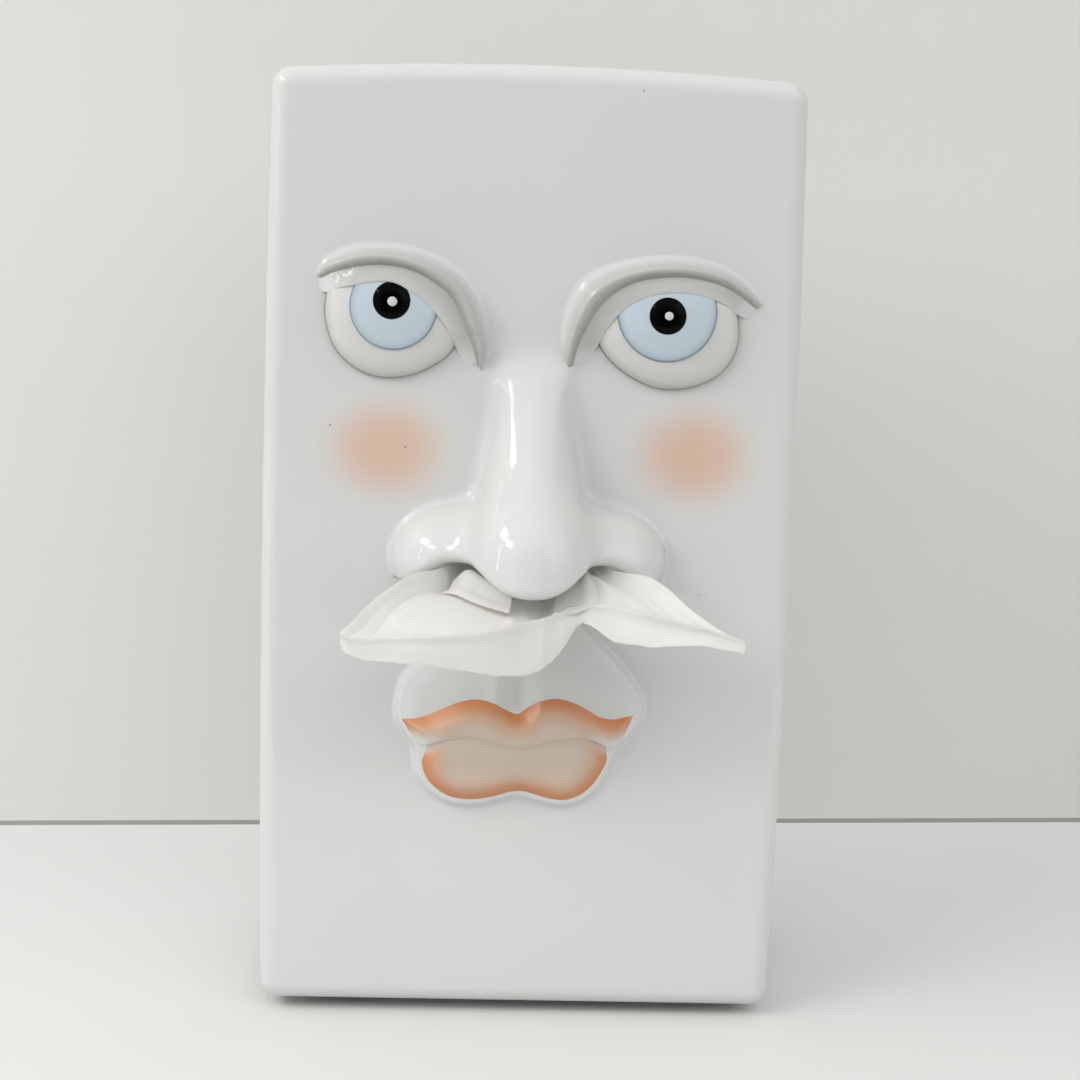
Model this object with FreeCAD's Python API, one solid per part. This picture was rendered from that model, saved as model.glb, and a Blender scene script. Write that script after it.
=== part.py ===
import FreeCAD
import Part
import math
import os

# Ceramic cover for a flat tissue carton stood on its short end, with a face in relief
# whose hollow nose hands out the tissue. Millimetres; the origin is at the middle of the
# base pad's underside, the face looks along -Y and +Z is up.

os.makedirs("parts", exist_ok=True)

# Tissue carton and what it holds
CARTON_WIDTH = 118.0
CARTON_HEIGHT = 232.0
CARTON_DEPTH = 76.0
BOARD = 0.8
OPENING_WIDTH = 52.0
OPENING_HEIGHT = 140.0
FILM = 0.3
FILM_MARGIN = 10.0
SLIT_WIDTH = 26.0
SLIT_LENGTH = 124.0
STACK_GAP = 2.5
STACK_FRONT_GAP = 2.6
STACK_LAYERS = 28
LEAF = 0.35

# Room left around the carton, and the cast wall
CARTON_SIDE_GAP = 5.0
CARTON_HEADROOM = 9.0
CARTON_FRONT_GAP = 4.0
BACK_RECESS = 10.0
WALL = 5.0

# Shape of the cast box
SIDE_BOW = 1.2
TOP_BOW = 2.6
CORNER_RADIUS = 4.8
FRONT_EDGE_RADIUS = 4.5
INNER_CORNER_RADIUS = 2.5
RIM_RADIUS = 1.0

# Felt pad under the foot
PAD_THICKNESS = 3.0
PAD_INSET = 12.0
PAD_CORNER_RADIUS = 5.0

# Way through the front wall behind the nose, from the height the carton hands out at
WINDOW_WIDTH = 48.0
WINDOW_FOOT = 0.0
WINDOW_HEAD = 16.0
WINDOW_RADIUS = 7.5

# Nose: bridge sections as rise, half width and how far they stand out
BRIDGE = [
    (55.5, 8.6, 1.0),
    (47.0, 9.2, 5.0),
    (38.0, 9.8, 11.0),
    (28.0, 11.2, 18.5),
    (18.0, 13.0, 26.5),
    (8.0, 14.0, 31.5),
    (-8.0, 13.0, 31.5),
]
NOSE_WALL = 4.5
TIP_OUT = 18.0
TIP_RISE = 4.0
TIP_RADII = (15.5, 19.0, 18.0)
WING_SIDE = 18.6
WING_OUT = 4.0
WING_RISE = 3.5
WING_RADII = (17.5, 15.0, 17.0)
THROAT_OUT = 12.0
MID_THROAT_WIDTH = 28.0
MID_THROAT_OUT = 20.0
MID_THROAT_HEAD = 9.0
# Lower rim of the nose from the middle to one side: hanging tip, nostril arch, wing end
RIM = [(0.0, -1.5), (8.0, -0.3), (14.0, 2.6), (20.5, 5.0), (27.0, 2.2), (33.0, -3.6), (42.0, -8.0)]

# Mouth outlines from the middle to one side, as side and rise
UPPER_LIP_TOP = [(0.0, -38.4), (3.0, -36.6), (6.4, -34.4), (9.4, -34.1), (17.3, -36.0),
                 (23.0, -38.4), (30.4, -38.4)]
UPPER_LIP_END = [(30.4, -38.4), (29.6, -42.6), (24.5, -46.2)]
MOUTH_LINE = [(0.0, -46.5), (5.0, -45.6), (10.5, -44.3), (16.0, -44.2), (24.5, -46.2)]
LOWER_LIP_FOOT = [(0.0, -59.8), (5.0, -60.6), (11.7, -62.1), (19.3, -59.3), (24.6, -51.2), (24.5, -46.2)]
UPPER_LIP_RISE = -41.0
UPPER_LIP_RADII = (37.0, 10.5, 11.5)
LOWER_LIP_RISE = -52.5
LOWER_LIP_RADII = (31.0, 10.5, 13.5)

# Raised ground between nose and mouth, with its groove
MOUND_SIDE = [(12.0, -7.0), (18.3, -16.4), (25.9, -23.8), (32.5, -33.4), (33.6, -39.5), (29.5, -46.0)]
MOUND_RISE = -44.0
MOUND_RADII = (38.0, 7.0, 42.0)
GROOVE_RADIUS = 3.6
GROOVE_DEPTH = 1.5
GROOVE_TILT = 4.5

# Eyes, given outwards from the face's middle line and from the eye's own centre
EYE_SIDE = 36.0
EYE_RISE = 68.0
BALL_RADII = (18.1, 6.6, 20.0)
LID_THICKNESS = 1.6
IRIS_RADIUS = 12.0
IRIS_THICKNESS = 0.6
PUPIL_RADIUS = 4.8
PUPIL_RISE = 0.6
PUPIL_THICKNESS = 1.2
CATCHLIGHT_RADIUS = 1.3
CATCHLIGHT_THICKNESS = 0.5
LID_EDGE = [(-19.5, -15.0), (-17.4, -9.6), (-12.6, -0.5), (-4.4, 5.0), (4.5, 6.0), (13.9, 3.7), (23.0, -0.5)]
# Brow roll: place, half width and how far it stands out
BROW = [
    (-24.6, -15.1, 2.0, 4.0),
    (-23.6, -7.0, 3.0, 6.4),
    (-20.2, 1.2, 3.3, 7.6),
    (-12.0, 8.9, 3.0, 7.8),
    (0.0, 12.6, 2.6, 7.6),
    (10.5, 11.2, 2.2, 6.4),
    (19.4, 6.2, 1.0, 3.6),
]

# Drawn tissue: slope it leaves at, gathered neck, and hanging fan
TISSUE_SLOPE = 20.0
TISSUE_RISE = 6.5
TISSUE = 0.5
CREST_RADIUS = 2.4
FLAP_LEAN = 8.0
NECK = [(9.0, 2.2), (14.0, 2.0), (19.0, 1.4)]
NECK_OUT = 17.0
NECK_TAIL = 0.9
# Fan sections across the face: side, where it starts, where it turns down, fold height, flap length
FAN = [
    (-53.0, 41.0, 46.5, -0.6, 5.0),
    (-44.0, 33.5, 46.5, 0.6, 7.5),
    (-33.0, 25.0, 45.5, -0.4, 9.5),
    (-22.0, 15.0, 43.0, 0.8, 12.0),
    (-10.0, 13.0, 39.0, -0.4, 15.0),
    (0.0, 13.0, 36.0, 0.5, 13.0),
    (9.0, 13.0, 31.5, -0.5, 7.0),
    (16.0, 13.0, 34.0, 0.6, 9.0),
    (24.0, 16.0, 39.0, -0.4, 9.0),
    (34.0, 25.0, 43.5, 0.6, 8.5),
    (44.0, 33.5, 45.5, -0.4, 7.0),
    (54.0, 41.0, 46.0, -0.6, 4.5),
]

# Places that follow from the sizes above
COVER_WIDTH = CARTON_WIDTH + 2 * (CARTON_SIDE_GAP + WALL)
COVER_HEIGHT = CARTON_HEIGHT + CARTON_HEADROOM + 2 * WALL
COVER_DEPTH = WALL + CARTON_FRONT_GAP + CARTON_DEPTH + BACK_RECESS
FRONT = -COVER_DEPTH / 2
BACK = COVER_DEPTH / 2
FOOT = PAD_THICKNESS
FLOOR = FOOT + WALL
CARTON_FRONT = FRONT + WALL + CARTON_FRONT_GAP
FILM_FRONT = CARTON_FRONT + BOARD
STACK_FRONT = FILM_FRONT + FILM + STACK_FRONT_GAP
HAND_OUT = FLOOR + CARTON_HEIGHT / 2
REACH = 2 * COVER_DEPTH
OUTWARDS = FreeCAD.Vector(0, -1, 0)


def at(side, out, rise):
    # A point by its side, how far it stands out of the face, and its rise above the nose
    return FreeCAD.Vector(side, FRONT - out, HAND_OUT + rise)


def curve(points, out=0.0):
    # A smooth edge through (side, rise) points
    spline = Part.BSplineCurve()
    spline.interpolate([at(side, out, rise) for side, rise in points])
    return spline.toShape()


def line(start, end, out=0.0):
    return Part.makeLine(at(start[0], out, start[1]), at(end[0], out, end[1]))


def mirrored(points):
    # The same points on the other side of the face, running the other way
    return [(-side, rise) for side, rise in reversed(points)]


def across(points):
    # One side's points carried over to both sides, from left to right
    return mirrored(points)[:-1] + points


def prism(edges, depth):
    # What lies straight out from the face inside a closed outline
    outline = Part.Wire(Part.__sortEdges__(edges))
    return Part.Face(outline).extrude(OUTWARDS * depth)


def ellipsoid(side, out, rise, radii):
    ball = Part.makeSphere(10.0)
    stretch = FreeCAD.Matrix()
    stretch.scale(radii[0] / 10.0, radii[1] / 10.0, radii[2] / 10.0)
    ball = ball.transformGeometry(stretch)
    ball.translate(at(side, out, rise))
    return ball


def grown(radii, amount):
    return tuple(radius + amount for radius in radii)


def in_front(shape):
    # Only what stands in front of the flat of the face
    space = Part.makeBox(2 * REACH, REACH, 2 * REACH, FreeCAD.Vector(-REACH, FRONT - REACH, HAND_OUT - REACH))
    return shape.common(space)


def box(x_half, y_low, y_high, z_low, z_high):
    corner = FreeCAD.Vector(-x_half, y_low, z_low)
    return Part.makeBox(2 * x_half, y_high - y_low, z_high - z_low, corner)


def edges_along(shape, axis):
    # The straight edges that run along one axis
    found = []
    for edge in shape.Edges:
        if len(edge.Vertexes) == 2:
            run = edge.Vertexes[1].Point - edge.Vertexes[0].Point
            if abs(run.dot(axis)) > 0.999 * run.Length and run.Length > 0.1:
                found.append(edge)
    return found


def edges_at(shape, y):
    # The edges that lie wholly in one plane facing front or back
    return [edge for edge in shape.Edges if all(abs(v.Point.y - y) < 0.001 for v in edge.Vertexes)]


def only_solid(shape):
    solids = shape.Solids
    largest = max(solids, key=lambda solid: solid.Volume)
    if len(solids) > 1 and sum(s.Volume for s in solids) > 1.02 * largest.Volume:
        raise ValueError("a piece has come apart")
    return largest.removeSplitter()


def save(shape, name):
    if not shape.isValid():
        raise ValueError(name + " is not a sound solid")
    shape.exportStep("parts/" + name + ".step")


def box_outline(inset, y):
    # Front outline of the cast box: straight foot, sides and top bowed gently outwards
    half = COVER_WIDTH / 2 - inset
    low = FOOT + inset
    high = FOOT + COVER_HEIGHT - TOP_BOW - inset
    middle = (low + high) / 2
    foot = Part.makeLine(FreeCAD.Vector(-half, y, low), FreeCAD.Vector(half, y, low))
    right = Part.Arc(FreeCAD.Vector(half, y, low), FreeCAD.Vector(half + SIDE_BOW, y, middle),
                     FreeCAD.Vector(half, y, high)).toShape()
    top = Part.Arc(FreeCAD.Vector(half, y, high), FreeCAD.Vector(0, y, high + TOP_BOW),
                   FreeCAD.Vector(-half, y, high)).toShape()
    left = Part.Arc(FreeCAD.Vector(-half, y, high), FreeCAD.Vector(-half - SIDE_BOW, y, middle),
                    FreeCAD.Vector(-half, y, low)).toShape()
    return Part.Face(Part.Wire([foot, right, top, left]))


def window(y_low, y_high):
    opening = box(WINDOW_WIDTH / 2, y_low, y_high, HAND_OUT + WINDOW_FOOT, HAND_OUT + WINDOW_HEAD)
    return opening.makeFillet(WINDOW_RADIUS, edges_along(opening, OUTWARDS))


def cover_body():
    # Cast box, open at the back, with the way through to the nose
    outer = box_outline(0.0, FRONT).extrude(FreeCAD.Vector(0, COVER_DEPTH, 0))
    outer = outer.makeFillet(CORNER_RADIUS, edges_along(outer, OUTWARDS))
    outer = outer.makeFillet(FRONT_EDGE_RADIUS, edges_at(outer, FRONT))
    hollow = box_outline(WALL, FRONT + WALL).extrude(FreeCAD.Vector(0, COVER_DEPTH, 0))
    hollow = hollow.makeFillet(INNER_CORNER_RADIUS, edges_along(hollow, OUTWARDS))
    shell = outer.cut(hollow)
    shell = shell.makeFillet(RIM_RADIUS, edges_at(shell, BACK))
    return only_solid(shell.cut(window(FRONT - 1.0, FRONT + WALL + 1.0)))


def base_pad():
    half = COVER_WIDTH / 2 - PAD_INSET
    pad = box(half, FRONT + PAD_INSET, BACK - PAD_INSET, 0.0, PAD_THICKNESS)
    return pad.makeFillet(PAD_CORNER_RADIUS, edges_along(pad, FreeCAD.Vector(0, 0, 1)))


def bridge():
    # Ridge of the nose, lofted through half-oval sections
    sections = []
    for rise, half_width, out in BRIDGE:
        turns = [math.pi * step / 6 for step in range(7)]
        points = [at(-half_width * math.cos(t), out * math.sin(t), rise) for t in turns]
        spline = Part.BSplineCurve()
        spline.interpolate(points)
        sections.append(Part.Wire([spline.toShape(), Part.makeLine(points[-1], points[0])]))
    return Part.makeLoft(sections, True, False)


def bulb_hollow(side, out, rise, radii):
    # Room inside a rounded part of the nose, open downwards
    inner = grown(radii, -NOSE_WALL)
    dome = ellipsoid(side, out, rise, inner)
    shaft = Part.makeCylinder(10.0, REACH / 4)
    stretch = FreeCAD.Matrix()
    stretch.scale(inner[0] / 10.0, inner[1] / 10.0, 1.0)
    shaft = shaft.transformGeometry(stretch)
    shaft.translate(at(side, out, rise - REACH / 4))
    return dome.fuse(shaft)


def nose():
    # Hollow nose, open along its underside from one nostril to the other
    tip = ellipsoid(0.0, TIP_OUT, TIP_RISE, TIP_RADII)
    wings = [ellipsoid(side * WING_SIDE, WING_OUT, WING_RISE, WING_RADII) for side in (-1, 1)]
    outer = in_front(bridge().fuse([tip] + wings))
    hollow = bulb_hollow(0.0, TIP_OUT, TIP_RISE, TIP_RADII)
    for side in (-1, 1):
        hollow = hollow.fuse(bulb_hollow(side * WING_SIDE, WING_OUT, WING_RISE, WING_RADII))
    throat = box(WINDOW_WIDTH / 2, FRONT - THROAT_OUT, FRONT + 1.0,
                 HAND_OUT - REACH / 4, HAND_OUT + WINDOW_HEAD)
    throat = throat.makeFillet(WINDOW_RADIUS, edges_along(throat, OUTWARDS))
    mid_throat = box(MID_THROAT_WIDTH / 2, FRONT - MID_THROAT_OUT, FRONT + 1.0,
                     HAND_OUT - REACH / 4, HAND_OUT + MID_THROAT_HEAD)
    hollow = hollow.fuse([throat, mid_throat])
    end = RIM[-1]
    below = prism([curve(across(RIM)), line(end, (end[0], -REACH / 4)),
                   line((end[0], -REACH / 4), (-end[0], -REACH / 4)),
                   line((-end[0], -REACH / 4), (-end[0], end[1]))], REACH)
    return only_solid(outer.cut(hollow).cut(below))


def lip(outline, rise, radii):
    return only_solid(prism(outline, REACH).common(ellipsoid(0.0, 0.0, rise, radii)))


def upper_lip():
    outline = [curve(across(UPPER_LIP_TOP)), curve(UPPER_LIP_END), curve(mirrored(UPPER_LIP_END)),
               curve(across(MOUTH_LINE))]
    return lip(outline, UPPER_LIP_RISE, UPPER_LIP_RADII)


def lower_lip():
    return lip([curve(across(LOWER_LIP_FOOT)), curve(across(MOUTH_LINE))], LOWER_LIP_RISE, LOWER_LIP_RADII)


def philtrum_mound(neighbours):
    # Raised ground from the nose down to the mouth, with the groove down its middle
    top = MOUND_SIDE[0]
    foot = MOUND_SIDE[-1]
    outline = [curve(MOUND_SIDE), curve(mirrored(MOUND_SIDE)),
               line((-top[0], top[1]), top), line((-foot[0], foot[1]), foot)]
    mound = prism(outline, REACH).common(ellipsoid(0.0, 0.0, MOUND_RISE, MOUND_RADII))
    axis = FreeCAD.Vector(0, -math.sin(math.radians(GROOVE_TILT)), -math.cos(math.radians(GROOVE_TILT)))
    start = at(0.0, MOUND_RADII[1] / 2 + GROOVE_RADIUS - GROOVE_DEPTH, top[1] + 2.0)
    mound = mound.cut(Part.makeCylinder(GROOVE_RADIUS, REACH / 4, start, axis))
    for neighbour in neighbours:
        mound = mound.cut(neighbour)
    return only_solid(mound)


def eye_point(point):
    # The right eye's own (outwards, rise) point on the face
    return (EYE_SIDE + point[0], EYE_RISE + point[1])


def brow():
    # Tapering roll of clay, lofted through ovals square to its run
    places = [eye_point(entry) for entry in BROW]
    sections = []
    for index, (along, rise, half_width, out) in enumerate(BROW):
        before = places[max(index - 1, 0)]
        after = places[min(index + 1, len(places) - 1)]
        run = FreeCAD.Vector(after[0] - before[0], 0, after[1] - before[1]).normalize()
        side = run.cross(OUTWARDS)
        centre = at(places[index][0], 0.0, places[index][1])
        oval = Part.Ellipse(centre + OUTWARDS * out, centre + side * half_width, centre)
        sections.append(Part.Wire([oval.toShape()]))
    return only_solid(in_front(Part.makeLoft(sections, True, False)))


def eye_ball(growth):
    return in_front(ellipsoid(EYE_SIDE, 0.0, EYE_RISE, grown(BALL_RADII, growth)))


def eye_disc(radius, rise):
    side, height = eye_point((0.0, rise))
    return Part.makeCylinder(radius, REACH, at(side, 0.0, height), OUTWARDS)


def lid_ground():
    # What the eyelid covers, from its free edge up to the middle of the brow, round the pupil
    edge = [eye_point(point) for point in LID_EDGE]
    roof = [eye_point(entry) for entry in BROW]
    ground = prism([curve(edge), line(edge[-1], roof[-1]), curve(roof), line(roof[0], edge[0])], REACH)
    return ground.cut(eye_disc(PUPIL_RADIUS, PUPIL_RISE))


def above_lid():
    edge = [eye_point(point) for point in LID_EDGE]
    high = EYE_RISE + 2 * BALL_RADII[2]
    ground = prism([curve(edge), line(edge[-1], (edge[-1][0], high)),
                    line((edge[-1][0], high), (edge[0][0], high)),
                    line((edge[0][0], high), edge[0])], REACH)
    return ground.cut(eye_disc(PUPIL_RADIUS, PUPIL_RISE))


def eyelid(roll):
    return only_solid(eye_ball(LID_THICKNESS).common(lid_ground()).cut(roll))


def eyeball(roll):
    return only_solid(eye_ball(0.0).cut(above_lid()).cut(roll))


def iris(roll):
    skin = eye_ball(IRIS_THICKNESS).common(eye_disc(IRIS_RADIUS, 0.0))
    return only_solid(skin.cut(above_lid()).cut(eye_ball(0.0)).cut(roll))


def pupil():
    dome = eye_ball(IRIS_THICKNESS + PUPIL_THICKNESS).common(eye_disc(PUPIL_RADIUS, PUPIL_RISE))
    return only_solid(dome.cut(eye_ball(IRIS_THICKNESS)))


def catchlight():
    base = IRIS_THICKNESS + PUPIL_THICKNESS
    dot = eye_ball(base + CATCHLIGHT_THICKNESS).common(eye_disc(CATCHLIGHT_RADIUS, PUPIL_RISE))
    return only_solid(dot.cut(eye_ball(base)))


def save_pair(right, name):
    # One of each for the right eye and, mirrored, for the left
    save(right, "right_" + name)
    save(right.mirror(FreeCAD.Vector(0, 0, 0), FreeCAD.Vector(1, 0, 0)), "left_" + name)


def stadium(width, height, y_low, y_high):
    # Long hole with round ends, about the middle of the carton's front
    plate = box(width / 2, y_low, y_high, HAND_OUT - height / 2, HAND_OUT + height / 2)
    return plate.makeFillet(width / 2 - 0.01, edges_along(plate, OUTWARDS))


def carton():
    # Folded board box, closed all round but for the long hole in its front
    half = CARTON_WIDTH / 2
    back = CARTON_FRONT + CARTON_DEPTH
    outer = box(half, CARTON_FRONT, back, FLOOR, FLOOR + CARTON_HEIGHT)
    inner = box(half - BOARD, CARTON_FRONT + BOARD, back - BOARD, FLOOR + BOARD, FLOOR + CARTON_HEIGHT - BOARD)
    hole = stadium(OPENING_WIDTH, OPENING_HEIGHT, CARTON_FRONT - 1.0, CARTON_FRONT + BOARD + 0.5)
    return only_solid(outer.cut(inner).cut(hole))


def slit_film():
    # Clear film glued behind the long hole, with a slit that gapes round the tissue
    sheet = stadium(OPENING_WIDTH + 2 * FILM_MARGIN, OPENING_HEIGHT + 2 * FILM_MARGIN,
                    FILM_FRONT, FILM_FRONT + FILM)
    low = FreeCAD.Vector(0, FILM_FRONT - 1.0, HAND_OUT - SLIT_LENGTH / 2)
    high = FreeCAD.Vector(0, FILM_FRONT - 1.0, HAND_OUT + SLIT_LENGTH / 2)
    lens = []
    for hand in (-1, 1):
        bulge = FreeCAD.Vector(hand * SLIT_WIDTH / 2, FILM_FRONT - 1.0, HAND_OUT)
        lens.append(Part.Arc(low, bulge, high).toShape())
    slit = Part.Face(Part.Wire(Part.__sortEdges__(lens))).extrude(FreeCAD.Vector(0, 2.0 + FILM, 0))
    return only_solid(sheet.cut(slit))


def tissue_stack():
    # Interfolded tissues as one zigzag of leaves, resting on the carton's lower end
    half = CARTON_WIDTH / 2 - BOARD - STACK_GAP
    low = FLOOR + BOARD
    high = FLOOR + CARTON_HEIGHT - BOARD - 2 * STACK_GAP
    first = STACK_FRONT + LEAF / 2
    pitch = (CARTON_FRONT + CARTON_DEPTH - BOARD - STACK_GAP - LEAF / 2 - first) / STACK_LAYERS
    tuck = LEAF * half / pitch
    near = [(-half, first - LEAF / 2)]
    far = [(-half, first + LEAF / 2)]
    for fold in range(1, STACK_LAYERS):
        y = first + fold * pitch
        if fold % 2:
            near += [(half, y - LEAF / 2), (half, y + LEAF / 2)]
            far.append((half - tuck, y))
        else:
            near.append((tuck - half, y))
            far += [(-half, y - LEAF / 2), (-half, y + LEAF / 2)]
    last = first + STACK_LAYERS * pitch
    near.append((-half, last + LEAF / 2))
    far.append((-half, last - LEAF / 2))
    corners = [FreeCAD.Vector(x, y, low) for x, y in near + far[::-1] + near[:1]]
    return Part.Face(Part.makePolygon(corners)).extrude(FreeCAD.Vector(0, 0, high - low))


def tissue_height(out):
    return TISSUE_RISE - out * math.tan(math.radians(TISSUE_SLOPE))


def fan_section(side, start, crest, fold, flap):
    # One slice of the hanging tissue: slope, rounded crest, flap hanging down
    slope = math.radians(TISSUE_SLOPE)
    lean = math.radians(FLAP_LEAN)
    down = FreeCAD.Vector(0, -math.cos(slope), -math.sin(slope))
    hang = FreeCAD.Vector(0, math.sin(lean), -math.cos(lean))
    half_turn = (math.pi / 2 - slope + lean) / 2
    mean = slope + half_turn
    first = at(side, start, tissue_height(start) + fold)
    turn = at(side, crest, tissue_height(crest) + fold)
    centre = turn + FreeCAD.Vector(0, math.sin(slope), -math.cos(slope)) * CREST_RADIUS
    top = []
    under = []
    for points, radius in ((top, CREST_RADIUS), (under, CREST_RADIUS - TISSUE)):
        shift = FreeCAD.Vector(0, -math.sin(slope), math.cos(slope)) * (radius - CREST_RADIUS)
        middle = centre + FreeCAD.Vector(0, -math.sin(mean), math.cos(mean)) * radius
        final = centre + FreeCAD.Vector(0, -math.cos(lean), -math.sin(lean)) * radius
        points.extend([first + shift, turn + shift, middle, final, final + hang * flap])
    edges = [Part.makeLine(top[0], top[1]), Part.Arc(top[1], top[2], top[3]).toShape(),
             Part.makeLine(top[3], top[4]), Part.makeLine(top[4], under[4]),
             Part.makeLine(under[4], under[3]), Part.Arc(under[3], under[2], under[1]).toShape(),
             Part.makeLine(under[1], under[0]), Part.makeLine(under[0], top[0])]
    return Part.Wire(edges)


def neck_section(out, half_width, half_thickness):
    # One slice of the gathered neck, square to the way it is drawn
    slope = math.radians(TISSUE_SLOPE)
    normal = FreeCAD.Vector(0, -math.sin(slope), math.cos(slope))
    centre = at(0.0, out, tissue_height(out))
    left = centre - FreeCAD.Vector(half_width, 0, 0)
    right = centre + FreeCAD.Vector(half_width, 0, 0)
    upper = Part.Arc(left, centre + normal * half_thickness, right).toShape()
    lower = Part.Arc(right, centre - normal * half_thickness, left).toShape()
    return Part.Wire([upper, lower])


def pulled_tissue():
    # Tissue half drawn out: gathered neck in the nose, fan of folds hanging below it
    tail = FRONT - FILM_FRONT - FILM - NECK_TAIL
    outs = [tail, 0.0, NECK_OUT]
    neck = Part.makeLoft([neck_section(out, *size) for out, size in zip(outs, NECK)], True, False)
    fan = Part.makeLoft([fan_section(*entry) for entry in FAN], True, False)
    return only_solid(neck.fuse(fan))


upper = upper_lip()
lower = lower_lip()
nose_piece = nose()
save(cover_body(), "cover_body")
save(base_pad(), "base_pad")
save(nose_piece, "nose")
save(upper, "upper_lip")
save(lower, "lower_lip")
save(philtrum_mound([nose_piece, upper, lower]), "philtrum_mound")
roll = brow()
save_pair(roll, "brow")
save_pair(eyelid(roll), "eyelid")
save_pair(eyeball(roll), "eyeball")
save_pair(iris(roll), "iris")
save_pair(pupil(), "pupil")
save_pair(catchlight(), "catchlight")
save(carton(), "carton")
save(slit_film(), "slit_film")
save(tissue_stack(), "tissue_stack")
save(pulled_tissue(), "pulled_tissue")
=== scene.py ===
import math

import bmesh
import bpy
import numpy as np
from mathutils import Matrix, Vector, noise


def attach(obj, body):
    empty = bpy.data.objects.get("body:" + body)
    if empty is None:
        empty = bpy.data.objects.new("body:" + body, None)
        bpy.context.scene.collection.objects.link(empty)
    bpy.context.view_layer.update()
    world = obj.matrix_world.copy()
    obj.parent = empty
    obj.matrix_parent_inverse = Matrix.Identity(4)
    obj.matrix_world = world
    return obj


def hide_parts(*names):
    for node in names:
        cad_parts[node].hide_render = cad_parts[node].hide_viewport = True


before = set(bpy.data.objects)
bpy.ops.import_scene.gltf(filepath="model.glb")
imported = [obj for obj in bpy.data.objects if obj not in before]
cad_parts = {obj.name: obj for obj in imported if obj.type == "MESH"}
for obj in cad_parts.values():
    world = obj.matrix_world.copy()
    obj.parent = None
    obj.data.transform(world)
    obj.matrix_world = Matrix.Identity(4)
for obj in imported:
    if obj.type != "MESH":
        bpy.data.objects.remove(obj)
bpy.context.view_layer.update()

# Cast box
# Slip-cast earthenware, open at the back, with rounded edges and sides that bow a little from
# the mould; fired under a clear white glaze with two airbrushed cheeks and a few kiln specks.
# Lengths are in millimetres; the tissue is handed out over the sill of the window behind the nose.
MM = 0.001
FRONT = -47.5
BACK = 47.5
FOOT = 3.0
BOX_HALF = 69.0
BOX_TOP = 251.4
SIDE_BOW = 1.2
TOP_BOW = 2.6
WALL = 5.0
CORNER_RADIUS = 4.8
FRONT_EDGE_RADIUS = 4.5
INNER_RADIUS = 2.5
RIM_RADIUS = 1.2
HAND_OUT = 124.0
WINDOW_HALF = 24.0
WINDOW_HEAD = 16.0
WINDOW_RADIUS = 7.5
WINDOW_CHAMFER = 0.8
CHAMFER_MIDDLE = 0.25
PANEL_INSET = 0.7
LEAST_OUTER_RADIUS = 1.2
LEAST_INNER_RADIUS = 0.6
INSIDE_RUN = (FRONT + 10, BACK - 3)
OUTSIDE_RUN = (BACK - 3, FRONT + FRONT_EDGE_RADIUS + 1)
CORNER_STEPS = 8
SIDE_STEPS = 14
GLAZE_WAVE = 34.0
GLAZE_DEPTH = 0.10
CLOUD = 60.0
BLUSH_RADII = (17.5, 14.6)
BLUSH_PLACES = ((-38.0, 154.2), (42.5, 154.2))
BLUSH_FADE = (0.22, 1.2)
SPECK_RADIUS = 0.32
SPECK_STRENGTH = 0.7
SPECKS = ((-52.6, 160.0), (-33.0, 154.7), (26.0, 248.3))
MERGE = 0.002


def colour(code):
    """An sRGB hex colour as the linear values that a shader takes."""
    parts = [int(code[place:place + 2], 16) / 255 for place in (1, 3, 5)]
    return [p / 12.92 if p <= 0.04045 else ((p + 0.055) / 1.055) ** 2.4 for p in parts] + [1.0]


def add(owner, kind, inputs=None, **settings):
    """Adds one shader node with its settings, values and links."""
    node = owner.node_tree.nodes.new("ShaderNode" + kind)
    for name, value in settings.items():
        setattr(node, name, value)
    for name, value in (inputs or {}).items():
        if isinstance(value, bpy.types.NodeSocket):
            owner.node_tree.links.new(value, node.inputs[name])
        else:
            node.inputs[name].default_value = value
    return node


def blank(name):
    """A material with no nodes in it yet."""
    finish = bpy.data.materials.new(name)
    finish.use_nodes = True
    finish.node_tree.nodes.clear()
    return finish


def glazed(name, body, shade, roughness=0.09, bend=1.52):
    """Earthenware under clear glaze: a cloudy body colour and a glassy skin with slow waves in it."""
    finish = blank(name)
    place = add(finish, "TexCoord").outputs["Object"]
    clouds = add(finish, "TexNoise", {"Vector": place, "Scale": 1 / (CLOUD * MM), "Detail": 2.0})
    tone = add(finish, "Mix", {0: clouds.outputs["Fac"], 6: colour(body), 7: colour(shade)}, data_type="RGBA")
    waves = add(finish, "TexNoise", {"Vector": place, "Scale": 1 / (GLAZE_WAVE * MM), "Detail": 1.0})
    skin = add(finish, "Bump", {"Strength": 1.0, "Distance": GLAZE_DEPTH * MM,
                                "Height": waves.outputs["Fac"]})
    shader = add(finish, "BsdfPrincipled", {"Base Color": tone.outputs[2], "Roughness": roughness,
                                            "IOR": bend, "Normal": skin.outputs["Normal"]})
    add(finish, "OutputMaterial", {"Surface": shader.outputs[0]})
    return finish


def paint(finish, mask, code):
    """Lays a colour over what is painted so far, as strongly as the mask says."""
    skin = finish.node_tree.nodes["Principled BSDF"].inputs["Base Color"]
    over = add(finish, "Mix", {0: mask, 6: skin.links[0].from_socket, 7: colour(code)}, data_type="RGBA")
    finish.node_tree.links.new(over.outputs[2], skin)


def fade(finish, value, full, none, strength=1.0):
    """A mask at full strength where the value is at full, dying softly away to none."""
    ramp = add(finish, "MapRange", {"Value": value, "From Min": full, "From Max": none,
                                    "To Min": strength, "To Max": 0.0}, interpolation_type="SMOOTHSTEP")
    return ramp.outputs["Result"]


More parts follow.
